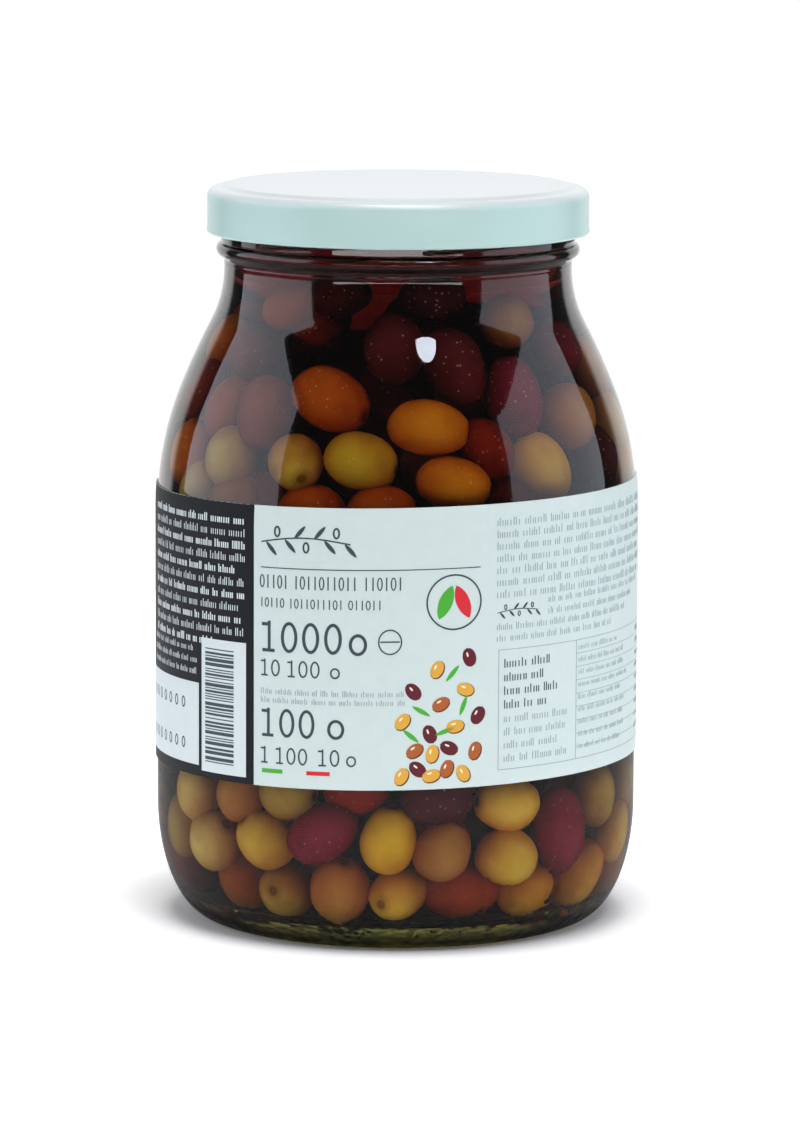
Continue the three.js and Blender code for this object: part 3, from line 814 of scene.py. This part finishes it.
# The olives that show in the photo: pixel place, length and width in mm, tilt and lean in degrees, tint,
# extra depth
SHOWN = [
    (331, 399, 18.4, 13.3, -25, 0, "orange", 0), (361, 461, 15.8, 12.0, -12, 0, "yellow", 0),
    (294, 464, 15.5, 11.8, -40, 45, "gold", 0), (264, 412, 16.4, 12.6, -82, 0, "mauve", 0),
    (231, 408, 15.0, 12.4, 78, 0, "russet", 2.5), (230, 459, 14.0, 12.6, -60, 0, "tan", 0),
    (189, 451, 15.0, 12.4, 70, 0, "amber", 0), (200, 491, 14.0, 12.0, 60, 0, "tan", 0),
    (237, 506, 15.0, 13.0, 20, 0, "brown", 0), (312, 514, 15.0, 13.0, 5, 0, "orange", 0),
    (381, 516, 15.0, 13.0, 5, 0, "orange", 0), (267, 500, 14.0, 11.0, 30, 0, "red", 5),
    (291, 306, 14.5, 10.6, 40, 0, "russet", 1), (335, 296, 15.0, 12.0, 20, 0, "dark", 5),
    (315, 326, 12.5, 9.5, -30, 0, "red", 5), (256, 354, 14.0, 11.5, -70, 0, "mauve", 4),
    (229, 337, 14.5, 11.0, 60, 0, "amber", 1), (203, 387, 15.5, 10.5, 65, 0, "red", 1),
    (262, 316, 13.0, 11.0, 50, 0, "brown", 7), (429, 428, 17.4, 12.2, -8, 0, "amber", 0),
    (542, 468, 16.2, 12.8, -52, 0, "yellow", 0), (455, 484, 16.0, 11.6, -15, 0, "amber", 0),
    (487, 449, 14.0, 11.0, -60, 0, "red", 3), (514, 396, 18.0, 12.6, 86, 0, "burgundy", 0),
    (569, 415, 15.5, 13.8, 30, 0, "brown", 0), (507, 320, 13.6, 12.0, 80, 0, "brown", 0),
    (456, 367, 18.6, 12.6, -76, 0, "dark", 0), (394, 347, 16.8, 12.4, 86, 0, "dark", 0),
    (433, 297, 14.0, 12.0, 10, 0, "plum", 3), (557, 346, 14.0, 12.4, -65, 0, "burgundy", 1),
    (590, 367, 15.0, 12.0, -70, 0, "brown", 0), (613, 424, 15.0, 12.0, -75, 0, "tan", 0),
    (622, 462, 14.0, 12.0, 70, 0, "yellow", 0), (511, 503, 15.0, 12.0, 10, 0, "dark", 4),
    (598, 456, 14.0, 12.0, 70, 0, "dark", 4),
    (197, 789, 14.0, 12.0, 80, 0, "tan", 0), (241, 792, 14.0, 11.4, 85, 0, "brown", 0),
    (288, 794, 13.0, 11.6, 0, 0, "olive", 0), (323, 832, 17.0, 12.2, 36, 0, "burgundy", 0),
    (214, 839, 13.6, 12.6, 40, 0, "tan", 0), (264, 839, 14.0, 11.8, 132, 25, "gold", 0),
    (388, 840, 15.2, 12.0, 82, 0, "yellow", 0), (197, 882, 15.0, 12.6, 100, 0, "tan", 0),
    (238, 889, 13.6, 11.2, 110, 0, "brown", 0), (285, 894, 14.0, 11.2, 90, 50, "olive", 0),
    (339, 890, 15.0, 12.4, 75, 0, "brown", 0), (397, 899, 14.5, 10.8, 150, 55, "gold", 0),
    (357, 790, 14.0, 11.5, 0, 0, "red", 3), (183, 823, 14.0, 11.5, 80, 0, "olive", 0),
    (437, 799, 15.5, 11.5, 0, 0, "plum", 0), (507, 804, 15.0, 11.6, 172, 0, "gold", 0),
    (443, 850, 14.0, 12.0, 60, 0, "brown", 0), (507, 857, 14.5, 12.4, -20, 0, "gold", 0),
    (559, 829, 20.0, 12.8, -82, 0, "burgundy", 0), (595, 795, 15.0, 12.2, -80, 0, "olive", 0),
    (623, 780, 14.0, 12.0, 80, 0, "olive", 0), (614, 828, 14.0, 12.0, 70, 0, "gold", 0),
    (467, 903, 17.0, 11.8, -5, 0, "russet", 0), (529, 894, 13.4, 10.8, 30, 0, "gold", 0),
    (580, 878, 16.0, 11.6, 58, 0, "gold", 0), (611, 873, 15.0, 12.0, 60, 0, "tan", 0),
]
OLIVE_SEED = 11
FIRST_ROW_HEIGHT, LAYER_ROW_RISE = 12.8, 12.4
LAYER_DEPTH, WALL_LAYER_MIDDLE = 13.0, 7.2
OLIVE_PITCH = 13.0
HEAP_TOP = 139.0
TRIES = 5
# Loose rings that close the heap below and above: radius and height
END_RINGS = [(11, 15.5), (25, 15.5), (8, HEAP_TOP - 6), (22, HEAP_TOP - 7)]


def shown_olives():
    placed = []
    for x, y, length, width, tilt, lean, tint, extra in SHOWN:
        centre = seen_place(x, y, width / 2 + 0.3 + extra)
        if centre is None:
            continue
        round_jar, up, out = wall_frame(centre)
        turn, inwards = math.radians(tilt), math.radians(lean)
        axis = long_axis(round_jar, up, out, turn, inwards)
        placed.append(Olive(centre, axis, length, width, tint))
    return placed


def overlaps(olive, others, allowed):
    for other in others:
        if (olive.centre - other.centre).length > olive.length + other.length:
            continue
        for place, radius in olive.balls():
            for place2, radius2 in other.balls():
                if (place - place2).length < radius + radius2 - allowed:
                    return True
    return False


def draw_tint(chance, height):
    """Darker olives are commoner in the upper half of the jar."""
    dark = 0.22 + 0.3 * step_up(height, 80, 130)
    pick = chance.random()
    if pick < dark:
        return chance.choice(["burgundy", "dark", "red", "plum", "mauve"])
    if pick < dark + 0.38:
        return chance.choice(["gold", "yellow", "amber", "gold", "orange"])
    return chance.choice(["tan", "brown", "olive", "russet", "brown"])


def packed_olives(placed):
    """Fills the rest of the wall layer and a second layer behind it."""
    chance = random.Random(OLIVE_SEED)
    for layer, spread in ((0, 0.9), (1, 2.0)):
        height = FIRST_ROW_HEIGHT + 3 * layer
        row = 0
        while height < HEAP_TOP - 4:
            ring = inner_radius(height) - WALL_LAYER_MIDDLE - LAYER_DEPTH * layer
            count = int(2 * math.pi * ring / OLIVE_PITCH)
            for i in range(count):
                for _ in range(TRIES):
                    angle = 2 * math.pi * (i + 0.5 * (row % 2) + 0.35 * (chance.random() - 0.5)) / count
                    z = height + 3.2 * (chance.random() - 0.5)
                    length, width = 14 + 4 * chance.random(), 11.4 + 1.8 * chance.random()
                    slope = inner_slope(z)
                    depth = width / 2 + 0.3 + spread * chance.random() + LAYER_DEPTH * layer
                    inwards = depth * math.hypot(1, slope)
                    centre = Vector(around_front(angle, inner_radius(z) - inwards, z))
                    round_jar, up, out = wall_frame(centre)
                    turn, lean = math.pi * chance.random(), 0.5 * (chance.random() - 0.5) * (1 + layer)
                    axis = long_axis(round_jar, up, out, turn, lean)
                    olive = Olive(centre, axis, length, width, draw_tint(chance, z))
                    if not overlaps(olive, placed, 1.1):
                        placed.append(olive)
                        break
            height += LAYER_ROW_RISE
            row += 1
    for ring, z in END_RINGS:
        count = max(3, int(2 * math.pi * ring / 15))
        for i in range(count):
            angle = 2 * math.pi * (i + 0.4 * chance.random()) / count
            centre = Vector(around_front(angle, ring, z + 2 * chance.random()))
            axis = Vector((chance.random() - 0.5, chance.random() - 0.5, 0.4 * (chance.random() - 0.5)))
            kind = draw_tint(chance, z)
            olive = Olive(centre, axis, 15 + 2 * chance.random(), 12 + chance.random(), kind)
            if not overlaps(olive, placed, 1.5):
                placed.append(olive)
    return placed


def painted_lighter_below(height):
    """Painted light: how much lighter the skins are made lower in the jar, where the photo shows them so."""
    return 0.97 + 0.44 * (1 - step_up(height, 36, 96)) + 0.45 * (1 - step_up(height, 9, 22))


# Pieces of the heap: name, tints, how strong the patches are and what they multiply the tint by
OLIVE_PIECES = [("olives_golden", GOLDEN, 0.75, (0.8, 0.58, 0.38, 1)),
                ("olives_brown", BROWNISH, 0.7, (0.74, 0.56, 0.46, 1)),
                ("olives_burgundy", WINE_DARK, 0.8, (0.62, 0.42, 0.5, 1))]
OLIVE_SIDES, OLIVE_RINGS, OLIVE_LUMPS = 26, 16, 0.0012
CORE_DEPTH, CORE_LOW, CORE_HIGH = 18, 14, 124


def make_olives():
    olives = packed_olives(shown_olives())
    chance = random.Random(OLIVE_SEED + 1)
    tree = olive_tree()
    for name, kinds, mottle, darker in OLIVE_PIECES:
        members = [o for o in olives if o.kind in kinds]
        piece = mesh_object(name, [o.centre for o in members], [], smooth=False)
        turns, sizes, tints = [], [], []
        for o in members:
            turns.extend(o.axis.to_track_quat("Z", "Y").to_euler())
            sizes.extend((o.width * MM, o.width * MM * (0.97 + 0.06 * chance.random()), o.length * MM))
            # The tint is lightened lower in the jar as painted light, with a random spread
            painted_light_and_variation = painted_lighter_below(o.centre.z) * (0.9 + 0.2 * chance.random())
            tints.extend([c * painted_light_and_variation for c in linear(*TINTS[o.kind])[:3]] + [1.0])
        for label, kind, values, field in (("turn", "FLOAT_VECTOR", turns, "vector"),
                                           ("half_size", "FLOAT_VECTOR", sizes, "vector"),
                                           ("tint", "FLOAT_COLOR", tints, "color")):
            piece.data.attributes.new(label, kind, "POINT").data.foreach_set(field, values)
        skin = olive_material(name + "_skin", mottle, darker)
        tree.apply(piece, {"Sides": OLIVE_SIDES, "Rings": OLIVE_RINGS, "Lumps": OLIVE_LUMPS, "Skin": skin})
        finished(piece, None, ["olives"])
    # A dark core under the olives, coloured as painted shade of the heap's inside
    core_side = [(max(0.0, r - CORE_DEPTH), z) for r, z in cavity_outline(0, 10)
                 if r > 36 and CORE_LOW < z < CORE_HIGH]
    core_outline = [(0, core_side[0][1])] + core_side + [(0, core_side[-1][1])]
    core = turned("olives_core", core_outline, even_angles(48))
    dark = paper_material("core_painted_shade", linear(70, 38, 30), 0.6, 0.3)
    finished(core, dark)


# Label and print, laid out flat in mm: s runs round from the front towards +X, t up the label

class Flat:
    """Closed flat slabs gathered in one mesh, in label millimetres."""

    def __init__(self, lift):
        self.points, self.faces, self.lift = [], [], lift

    def grid(self, at, columns, rows, closed=False):
        """A slab over a grid; at(i, j) gives s and t. closed joins the last column to the first."""
        start, wide = len(self.points), columns + (0 if closed else 1)
        tall = rows + 1
        for z in (-0.05, self.lift):
            for j in range(tall):
                for i in range(wide):
                    s, t = at(i / columns, j / rows)
                    self.points.append((s, t, z))
        layer = wide * tall

        def corner(i, j, top):
            return start + top * layer + j * wide + (i % wide if closed else i)
        for j in range(rows):
            for i in range(columns):
                a, b, c, d = (i, j), (i + 1, j), (i + 1, j + 1), (i, j + 1)
                self.faces.append([corner(*p, 1) for p in (a, b, c, d)])
                self.faces.append([corner(*p, 0) for p in (d, c, b, a)])
        for i in range(columns):
            self.faces.append([corner(i, 0, 0), corner(i + 1, 0, 0), corner(i + 1, 0, 1), corner(i, 0, 1)])
            self.faces.append([corner(i + 1, rows, 0), corner(i, rows, 0),
                               corner(i, rows, 1), corner(i + 1, rows, 1)])
        if not closed:
            for j in range(rows):
                self.faces.append([corner(0, j + 1, 0), corner(0, j, 0),
                                   corner(0, j, 1), corner(0, j + 1, 1)])
                self.faces.append([corner(columns, j, 0), corner(columns, j + 1, 0),
                                   corner(columns, j + 1, 1), corner(columns, j, 1)])

    def bar(self, s0, s1, t0, t1):
        columns = max(1, math.ceil((s1 - s0) / 2.0))
        rows = max(1, math.ceil((t1 - t0) / 2.5))
        self.grid(lambda u, v: (s0 + (s1 - s0) * u, t0 + (t1 - t0) * v), columns, rows)

    def ring(self, s, t, half_s, half_t, stroke, count=22, tilt=0.0):
        lean = math.radians(tilt)

        def at(u, v):
            turn, inwards = 2 * math.pi * u, 1 - v
            x, y = (half_s - stroke * inwards) * math.cos(turn), (half_t - stroke * inwards) * math.sin(turn)
            return (s + x * math.cos(lean) - y * math.sin(lean), t + x * math.sin(lean) + y * math.cos(lean))
        self.grid(at, count, 1, closed=True)

    def blob(self, s, t, half_s, half_t, tilt=0.0, point=1.0):
        """A filled oval, or with point under 1 a leaf shape, turned by tilt degrees."""
        turn = math.radians(tilt)

        def at(u, v):
            x = -1 + 2 * u
            y = (2 * v - 1) * max(0.0, 1 - x * x) ** (0.5 / point)
            x, y = x * half_s, y * half_t
            return (s + x * math.cos(turn) - y * math.sin(turn), t + x * math.sin(turn) + y * math.cos(turn))
        self.grid(at, 14, 4)

    def piece(self, name, material, tree, replaces=()):
        made = mesh_object(name, [Vector(p) / MM for p in self.points], self.faces, smooth=False)
        tree.apply(made, {"Body radius": BODY_RADIUS, "Paper": material})
        mesh = made.data
        work = bmesh.new()
        work.from_mesh(mesh)
        bmesh.ops.remove_doubles(work, verts=work.verts, dist=1e-7)
        bmesh.ops.dissolve_degenerate(work, edges=work.edges, dist=1e-8)
        work.to_mesh(mesh)
        work.free()
        finished(made, None, replaces)


def greeked_line(flat, chance, s0, s1, t, size, weight):
    """A line of small upright marks in groups, at the scale of small type."""
    s = s0
    while s < s1 - size:
        for _ in range(chance.randint(3, 9)):
            if s > s1:
                break
            tall = size * chance.choice([0.7, 0.7, 0.7, 1.0])
            flat.bar(s, s + size * 0.13 * weight, t, t + tall)
            s += size * chance.choice([0.3, 0.36, 0.44])
        s += size * 0.5


def word_row(flat, groups, s, t, size, stroke, pitch):
    """Groups of plain upright strokes (|) and narrow rings (0), at the scale of larger type."""
    for group in groups:
        for mark in group:
            if mark == "0":
                flat.ring(s + pitch * 0.35, t + size / 2, pitch * 0.42, size / 2, stroke)
            else:
                flat.bar(s + pitch * 0.25, s + pitch * 0.25 + stroke, t, t + size)
            s += pitch
        s += pitch * 0.7


def sprig_ornament(flat, s, t, size, stroke):
    """A twig in thin line: a bowed stem with slim leaves and olives in outline."""
    length, rise = size * 2.8, size * 0.16

    def stem(u, v):
        return (s + length * u, t + size * 0.44 + rise * math.sin(math.pi * u) + stroke * 0.7 * v)
    flat.grid(stem, 24, 1)
    for i in range(9):
        u = 0.06 + 0.11 * i
        root_s, root_t = stem(u, 0)
        side = 1 if i % 2 else -1
        if i % 3 == 1:
            flat.ring(root_s + size * 0.06, root_t + side * size * 0.26, size * 0.11, size * 0.17, stroke, 20)
        else:
            tilt = side * 48
            reach = size * 0.26
            flat.blob(root_s + reach * math.cos(math.radians(tilt)),
                      root_t + reach * math.sin(math.radians(tilt)),
                      reach, stroke * 1.1, tilt, 0.7)


def numerals(flat, digits, s, t, size, stroke):
    """Plain numerals from bars and rings."""
    for digit in digits:
        if digit == "1":
            flat.bar(s + size * 0.3, s + size * 0.3 + stroke, t, t + size)
            flat.bar(s + size * 0.08, s + size * 0.3, t + size * 0.84, t + size * 0.84 + stroke)
            flat.bar(s + size * 0.1, s + size * 0.55, t, t + stroke)
        elif digit == "0":
            flat.ring(s + size * 0.33, t + size / 2, size * 0.29, size / 2, stroke, 30)
        s += size * 0.74


# Print, in label millimetres. Numerals: digits, s, t, size and stroke
NUMERAL_PRINT = [
    ("1000", -31.0, 29.6, 6.8, 0.72), ("10", -31.0, 24.3, 3.7, 0.36), ("100", -24.4, 24.3, 3.7, 0.36),
    ("100", -31.0, 11.0, 6.3, 0.66), ("1", -31.0, 5.1, 3.7, 0.36), ("100", -27.2, 5.1, 3.7, 0.36),
    ("10", -17.2, 5.1, 3.7, 0.36),
]
# Rings: s, t, half width, half height, stroke, sides
RING_PRINT = [
    (-8.2, 31.8, 2.0, 2.4, 0.7, 22), (-1.3, 32.4, 2.6, 2.8, 0.3, 22), (-13.2, 25.5, 1.1, 1.2, 0.36, 22),
    (-13.0, 13.2, 1.9, 2.2, 0.66, 22), (-9.6, 6.3, 1.1, 1.2, 0.36, 22), (12.5, 40.7, 6.1, 6.1, 0.35, 48),
]
# Rows of strokes and rings: groups, s, t, size, stroke, pitch
WORD_PRINT = [(("0||0|", "|0||0||0||", "||0|0|"), -30.9, 43.6, 2.9, 0.27, 1.46),
              (("|0||0", "|0||0|||0|", "0||0||"), -30.9, 39.4, 2.1, 0.22, 1.26)]
PAPER, PALE_INK, BLACK_INK = linear(198, 211, 209), linear(204, 214, 216), linear(10, 12, 18)
DARK_INK, GREY_INK = linear(58, 70, 74), linear(142, 160, 164)
COLOUR_INKS = {"green": linear(70, 165, 50), "red": linear(205, 40, 50), "shade": linear(92, 44, 26),
               "gold": linear(214, 160, 62), "brown": linear(166, 88, 44), "wine": linear(92, 24, 40),
               "light": linear(246, 232, 206)}
# Printed olives: s, t, tilt and ink
PRINTED_OLIVES = [
    (1.2, 3.0, 62, "gold"), (4.6, 4.6, -40, "wine"), (7.6, 3.0, 15, "gold"), (11.0, 4.4, 70, "brown"),
    (4.0, 8.6, 35, "brown"), (7.8, 7.8, 80, "gold"), (11.4, 9.0, -25, "wine"), (14.6, 3.2, -60, "gold"),
    (7.2, 12.2, -70, "wine"), (12.8, 13.6, 10, "gold"), (17.2, 8.0, 75, "brown"), (1.4, 15.0, 50, "gold"),
    (17.8, 15.8, 60, "wine"), (9.6, 18.6, 30, "brown"), (3.6, 21.6, -50, "wine"), (15.0, 21.6, -20, "gold"),
    (8.8, 26.2, 65, "gold"), (15.8, 28.6, -75, "wine"),
]
# Printed leaves: s, t, half length, half width, tilt and ink
PRINTED_LEAVES = [(10.6, 40.7, 3.9, 1.5, 68, "green"), (14.4, 40.7, 3.9, 1.5, -68, "red"),
                  (10.6, 12.6, 2.3, 0.5, 20, "green"), (14.6, 18.0, 2.3, 0.5, 70, "green"),
                  (5.4, 17.2, 2.3, 0.5, -30, "green"), (12.2, 25.2, 2.3, 0.5, 50, "green"),
                  (3.2, 11.8, 2.3, 0.5, 140, "green")]
# How far each layer of print stands out from the wall of the jar
FIELD_LIFT, MARK_LIFT, TOP_LIFT = LABEL_OUTSIDE + 0.02, LABEL_OUTSIDE + 0.035, LABEL_OUTSIDE + 0.05
BLACK_FIELD_END = -32.6
THIN_RULE = 0.14


def pale_print(chance):
    """Pale panels and small marks on the black field."""
    flat = Flat(MARK_LIFT)
    flat.bar(-48.6, -34.7, 1.4, 31.0)
    flat.bar(-84.0, -49.7, 2.4, 20.7)
    for i in range(11):
        shorter = 8 if i == 10 else 0
        greeked_line(flat, chance, -74.0, -35.3 - shorter, 56.9 - 2.72 * i, 1.75, 1.0 if i % 2 else 1.6)
    for i in range(3):
        greeked_line(flat, chance, -76.0, -50.4, 27.6 - 2.5 * i, 1.4, 1.0)
    for i in range(8):
        greeked_line(flat, chance, -142.0, -92.0, 52.0 - 4.4 * i, 1.7, 1.5)
    return flat


def dark_print(chance):
    """The striped panel, the larger marks and the numerals."""
    flat = Flat(TOP_LIFT)
    t = 3.6
    while t < 29.2:
        thick = chance.choice([0.25, 0.25, 0.5, 0.75])
        flat.bar(-47.3, -38.2, t, t + thick)
        t += thick + chance.choice([0.28, 0.3, 0.55])
    for row_t in (14.6, 5.6):
        for i in range(7):
            flat.ring(-76.5 + 3.4 * i, row_t + 1.2, 0.85, 1.3, 0.4, 14)
    flat.bar(-30.7, 18.3, 47.95, 48.15)
    flat.bar(-3.4, 0.8, 32.3, 32.6)
    sprig_ornament(flat, -30.6, 50.2, 7.4, 0.42)
    sprig_ornament(flat, 22.3, 36.0, 3.6, 0.22)
    for row in WORD_PRINT:
        word_row(flat, *row)
    for row in NUMERAL_PRINT:
        numerals(flat, *row)
    for ring in RING_PRINT:
        flat.ring(*ring)
    for i in range(4):
        greeked_line(flat, chance, 24.0, 38.0 - 2.2 * (i % 2), 25.6 - 3.0 * i, 1.9, 1.0)
    return flat


def small_grey_print(chance):
    """Small marks, and the ruled table at the right."""
    flat = Flat(MARK_LIFT)
    for i in range(2):
        greeked_line(flat, chance, -30.7, 2.0, 20.4 - 1.9 * i, 1.3, 1.0)
    for i in range(7):
        greeked_line(flat, chance, 22.2, 78.0, 56.6 - 2.62 * i, 1.75, 0.9)
    for i in range(4):
        greeked_line(flat, chance, 22.2 + (13 if i < 2 else 0), 74.0 - 5 * i, 38.9 - 2.5 * i, 1.5, 0.9)
    for i in range(4):
        greeked_line(flat, chance, 24.0, 40.5, 13.6 - 2.9 * i, 1.7, 0.9)
    for i in range(9):
        greeked_line(flat, chance, 44.4, 60.0 + 7 * chance.random(), 27.4 - 2.75 * i, 1.2, 0.8)
        greeked_line(flat, chance, 74.0, 80.0, 27.4 - 2.75 * i, 1.2, 0.8)
    for i in range(9):
        flat.bar(43.6, 84.0, 29.5 - 2.95 * i, 29.62 - 2.95 * i)
    for s in (22.6, 43.6, 84.0):
        flat.bar(s, s + THIN_RULE, 3.2, 29.6)
    flat.bar(22.6, 84.0, 3.2, 3.2 + THIN_RULE)
    flat.bar(22.6, 43.6, 29.5, 29.62)
    for i in range(10):
        greeked_line(flat, chance, 96.0, 148.0, 52.0 - 4.6 * i, 1.6, 0.9)
    return flat


def colour_print():
    """Small coloured olives and leaves, one flat for each ink."""
    lifts = {"shade": FIELD_LIFT, "light": TOP_LIFT}
    flats = {name: Flat(lifts.get(name, MARK_LIFT)) for name in COLOUR_INKS}
    flats["green"].bar(-30.4, -25.3, 3.0, 3.9)
    flats["red"].bar(-19.6, -14.3, 3.0, 3.9)
    for s, t, tilt, name in PRINTED_OLIVES:
        flats["shade"].blob(s + 0.12, t - 0.14, 2.12, 1.5, tilt)
        flats[name].blob(s, t, 2.0, 1.36, tilt)
        flats["light"].blob(s - 0.35, t + 0.5, 0.55, 0.2, tilt)
    for s, t, half_length, half_width, tilt, name in PRINTED_LEAVES:
        flats[name].blob(s, t, half_length, half_width, tilt, 0.6)
    return flats


def make_label():
    tree = wrap_tree()
    chance = random.Random(5)
    edge = LABEL_HALF_LENGTH
    paper = Flat(LABEL_OUTSIDE)
    paper.grid(lambda u, v: (-edge + 2 * edge * u, LABEL_HEIGHT * v), 168, 30)
    paper.piece("label", paper_material("label_pale_paper", PAPER), tree, replaces=["label"])
    black = Flat(FIELD_LIFT)
    black.bar(-edge, BLACK_FIELD_END, 0, LABEL_HEIGHT)
    black.piece("label_black_field", paper_material("label_black_ink", BLACK_INK, 0.6, 0.05), tree)
    pale_print(chance).piece("label_white_print", paper_material("label_white_ink", PALE_INK, 0.45), tree)
    dark_print(chance).piece("label_dark_print", paper_material("label_dark_ink", DARK_INK, 0.4), tree)
    small_grey_print(chance).piece("label_grey_print", paper_material("label_grey_ink", GREY_INK, 0.45), tree)
    for name, flat in colour_print().items():
        ink = paper_material("label_" + name + "_ink", COLOUR_INKS[name], 0.45)
        flat.piece("label_" + name + "_print", ink, tree)


# Stage, light and camera

def area_light(name, place_m, aim_m, width_m, height_m, radiance, colour):
    light = bpy.data.lights.new(name, "AREA")
    light.shape = "RECTANGLE"
    light.size, light.size_y = width_m, height_m
    light.energy = radiance * math.pi * width_m * height_m
    light.color = colour
    lamp = bpy.data.objects.new(name, light)
    bpy.context.scene.collection.objects.link(lamp)
    lamp.location = place_m
    lamp.rotation_euler = (Vector(aim_m) - Vector(place_m)).to_track_quat("-Z", "Y").to_euler()
    lamp.visible_camera = False
    return light


def make_world():
    world = bpy.data.worlds.new("studio")
    bpy.context.scene.world = world
    world.use_nodes = True
    tree = world.node_tree
    tree.nodes.clear()
    place = node(tree, "ShaderNodeTexCoord")
    parts = node(tree, "ShaderNodeSeparateXYZ", {0: place.outputs["Generated"]}).outputs
    back = ramp(tree, parts[1], [(0.72, grey(0.06)), (0.78, grey(1.1))])
    rays = node(tree, "ShaderNodeLightPath").outputs
    seen = mixed(tree, rays["Is Camera Ray"], back, grey(1.05))
    glow = node(tree, "ShaderNodeBackground", {"Color": seen, "Strength": 1.0})
    node(tree, "ShaderNodeOutputWorld", {"Surface": glow.outputs[0]})


# Where the floor's glow begins and is full, in metres from the jar's axis, and its full strength
FLOOR_GLOW = (0.034, 0.085, 0.42)
FLOOR_MIRRORED = grey(0.28)
FLOOR_RADIUS = 470
COOL_WHITE, WHITE = (0.93, 0.99, 1.1), (1, 1, 1)
# Name, place and aim in metres, width and height in metres, radiance, colour
LAMPS = [
    ("left_softbox", (-0.9, -0.02, 0.4), (0, -0.02, 0.4), 1.12, 0.72, 1.6, COOL_WHITE),
    ("right_softbox", (0.9, -0.085, 0.3), (0, -0.085, 0.3), 1.07, 0.8, 1.35, (0.93, 0.99, 1.12)),
    ("key_light", (0.147, -0.62, 1.24), (0, 0, 0.12), 0.8, 0.46, 5.5, WHITE),
    ("top_light", (0.0, -0.12, 1.4), (0, 0, 0.0), 0.6, 0.6, 9.4, WHITE),
    ("front_reflector", (0.0, -1.05, 0.02), (0, 0, 0.05), 1.9, 0.07, 5.0, WHITE),
]
# The one small bright lamp, whose reflection is the highlight on the shoulder
SMALL_LAMP = ("small_lamp", (0.318, -0.837, 1.077), (0, 0, 0.13), 0.24, 0.17, 14.0, (0.9, 0.97, 1.12))


def floor_material():
    """Pale and matt. It glows a little away from the jar, as a white table lit all round does,
    and is darker where the glass mirrors it, as in a dim room."""
    material, tree, shader = new_material("floor_pale")
    pale = ramp(tree, noise(tree, 20.0, 2.0), [(0.3, grey(0.96)), (0.7, grey(0.97))])
    rays = node(tree, "ShaderNodeLightPath").outputs
    mirrored = node(tree, "ShaderNodeMath", {0: rays["Is Reflection Ray"], 1: rays["Is Singular Ray"]},
                    operation="MULTIPLY").outputs[0]
    tree.links.new(mixed(tree, mirrored, pale, FLOOR_MIRRORED), shader.inputs["Base Color"])
    away = node(tree, "ShaderNodeVectorMath", {0: object_place(tree)}, operation="LENGTH").outputs["Value"]
    near, far, strength = FLOOR_GLOW
    lit = node(tree, "ShaderNodeMapRange",
               {"Value": away, "From Min": near, "From Max": far, "To Max": strength},
               interpolation_type="SMOOTHSTEP").outputs[0]
    shown = node(tree, "ShaderNodeMath", {0: 1.0, 1: mirrored}, operation="SUBTRACT").outputs[0]
    glow = node(tree, "ShaderNodeMath", {0: lit, 1: shown}, operation="MULTIPLY").outputs[0]
    shader.inputs["Emission Color"].default_value = (1, 1, 1, 1)
    tree.links.new(glow, shader.inputs["Emission Strength"])
    shader.inputs["Roughness"].default_value = 0.8
    return material


def make_stage():
    rim = [(FLOOR_RADIUS * math.cos(a), FLOOR_RADIUS * math.sin(a), -0.02) for a in even_angles(96)]
    floor = mesh_object("floor", rim, [list(range(96))], smooth=False)
    floor.data.materials.append(floor_material())
    make_world()
    for lamp in LAMPS:
        area_light(*lamp)
    area_light(*SMALL_LAMP).shape = "ELLIPSE"


def make_camera():
    data = bpy.data.cameras.new("photo_camera")
    data.sensor_width = 36.0
    data.lens = FOCAL_PIXELS * 36.0 / IMAGE_HEIGHT
    data.clip_start, data.clip_end = 0.05, 50
    camera = bpy.data.objects.new("photo_camera", data)
    bpy.context.scene.collection.objects.link(camera)
    camera.matrix_world = Matrix.Translation(Vector(CAMERA_PLACE) * MM) @ CAMERA_TURN.to_4x4()
    bpy.context.scene.camera = camera


make_glass()
make_brine()
make_lid()
make_olives()
make_label()
make_stage()
make_camera()
bpy.context.scene.view_settings.view_transform = "Standard"
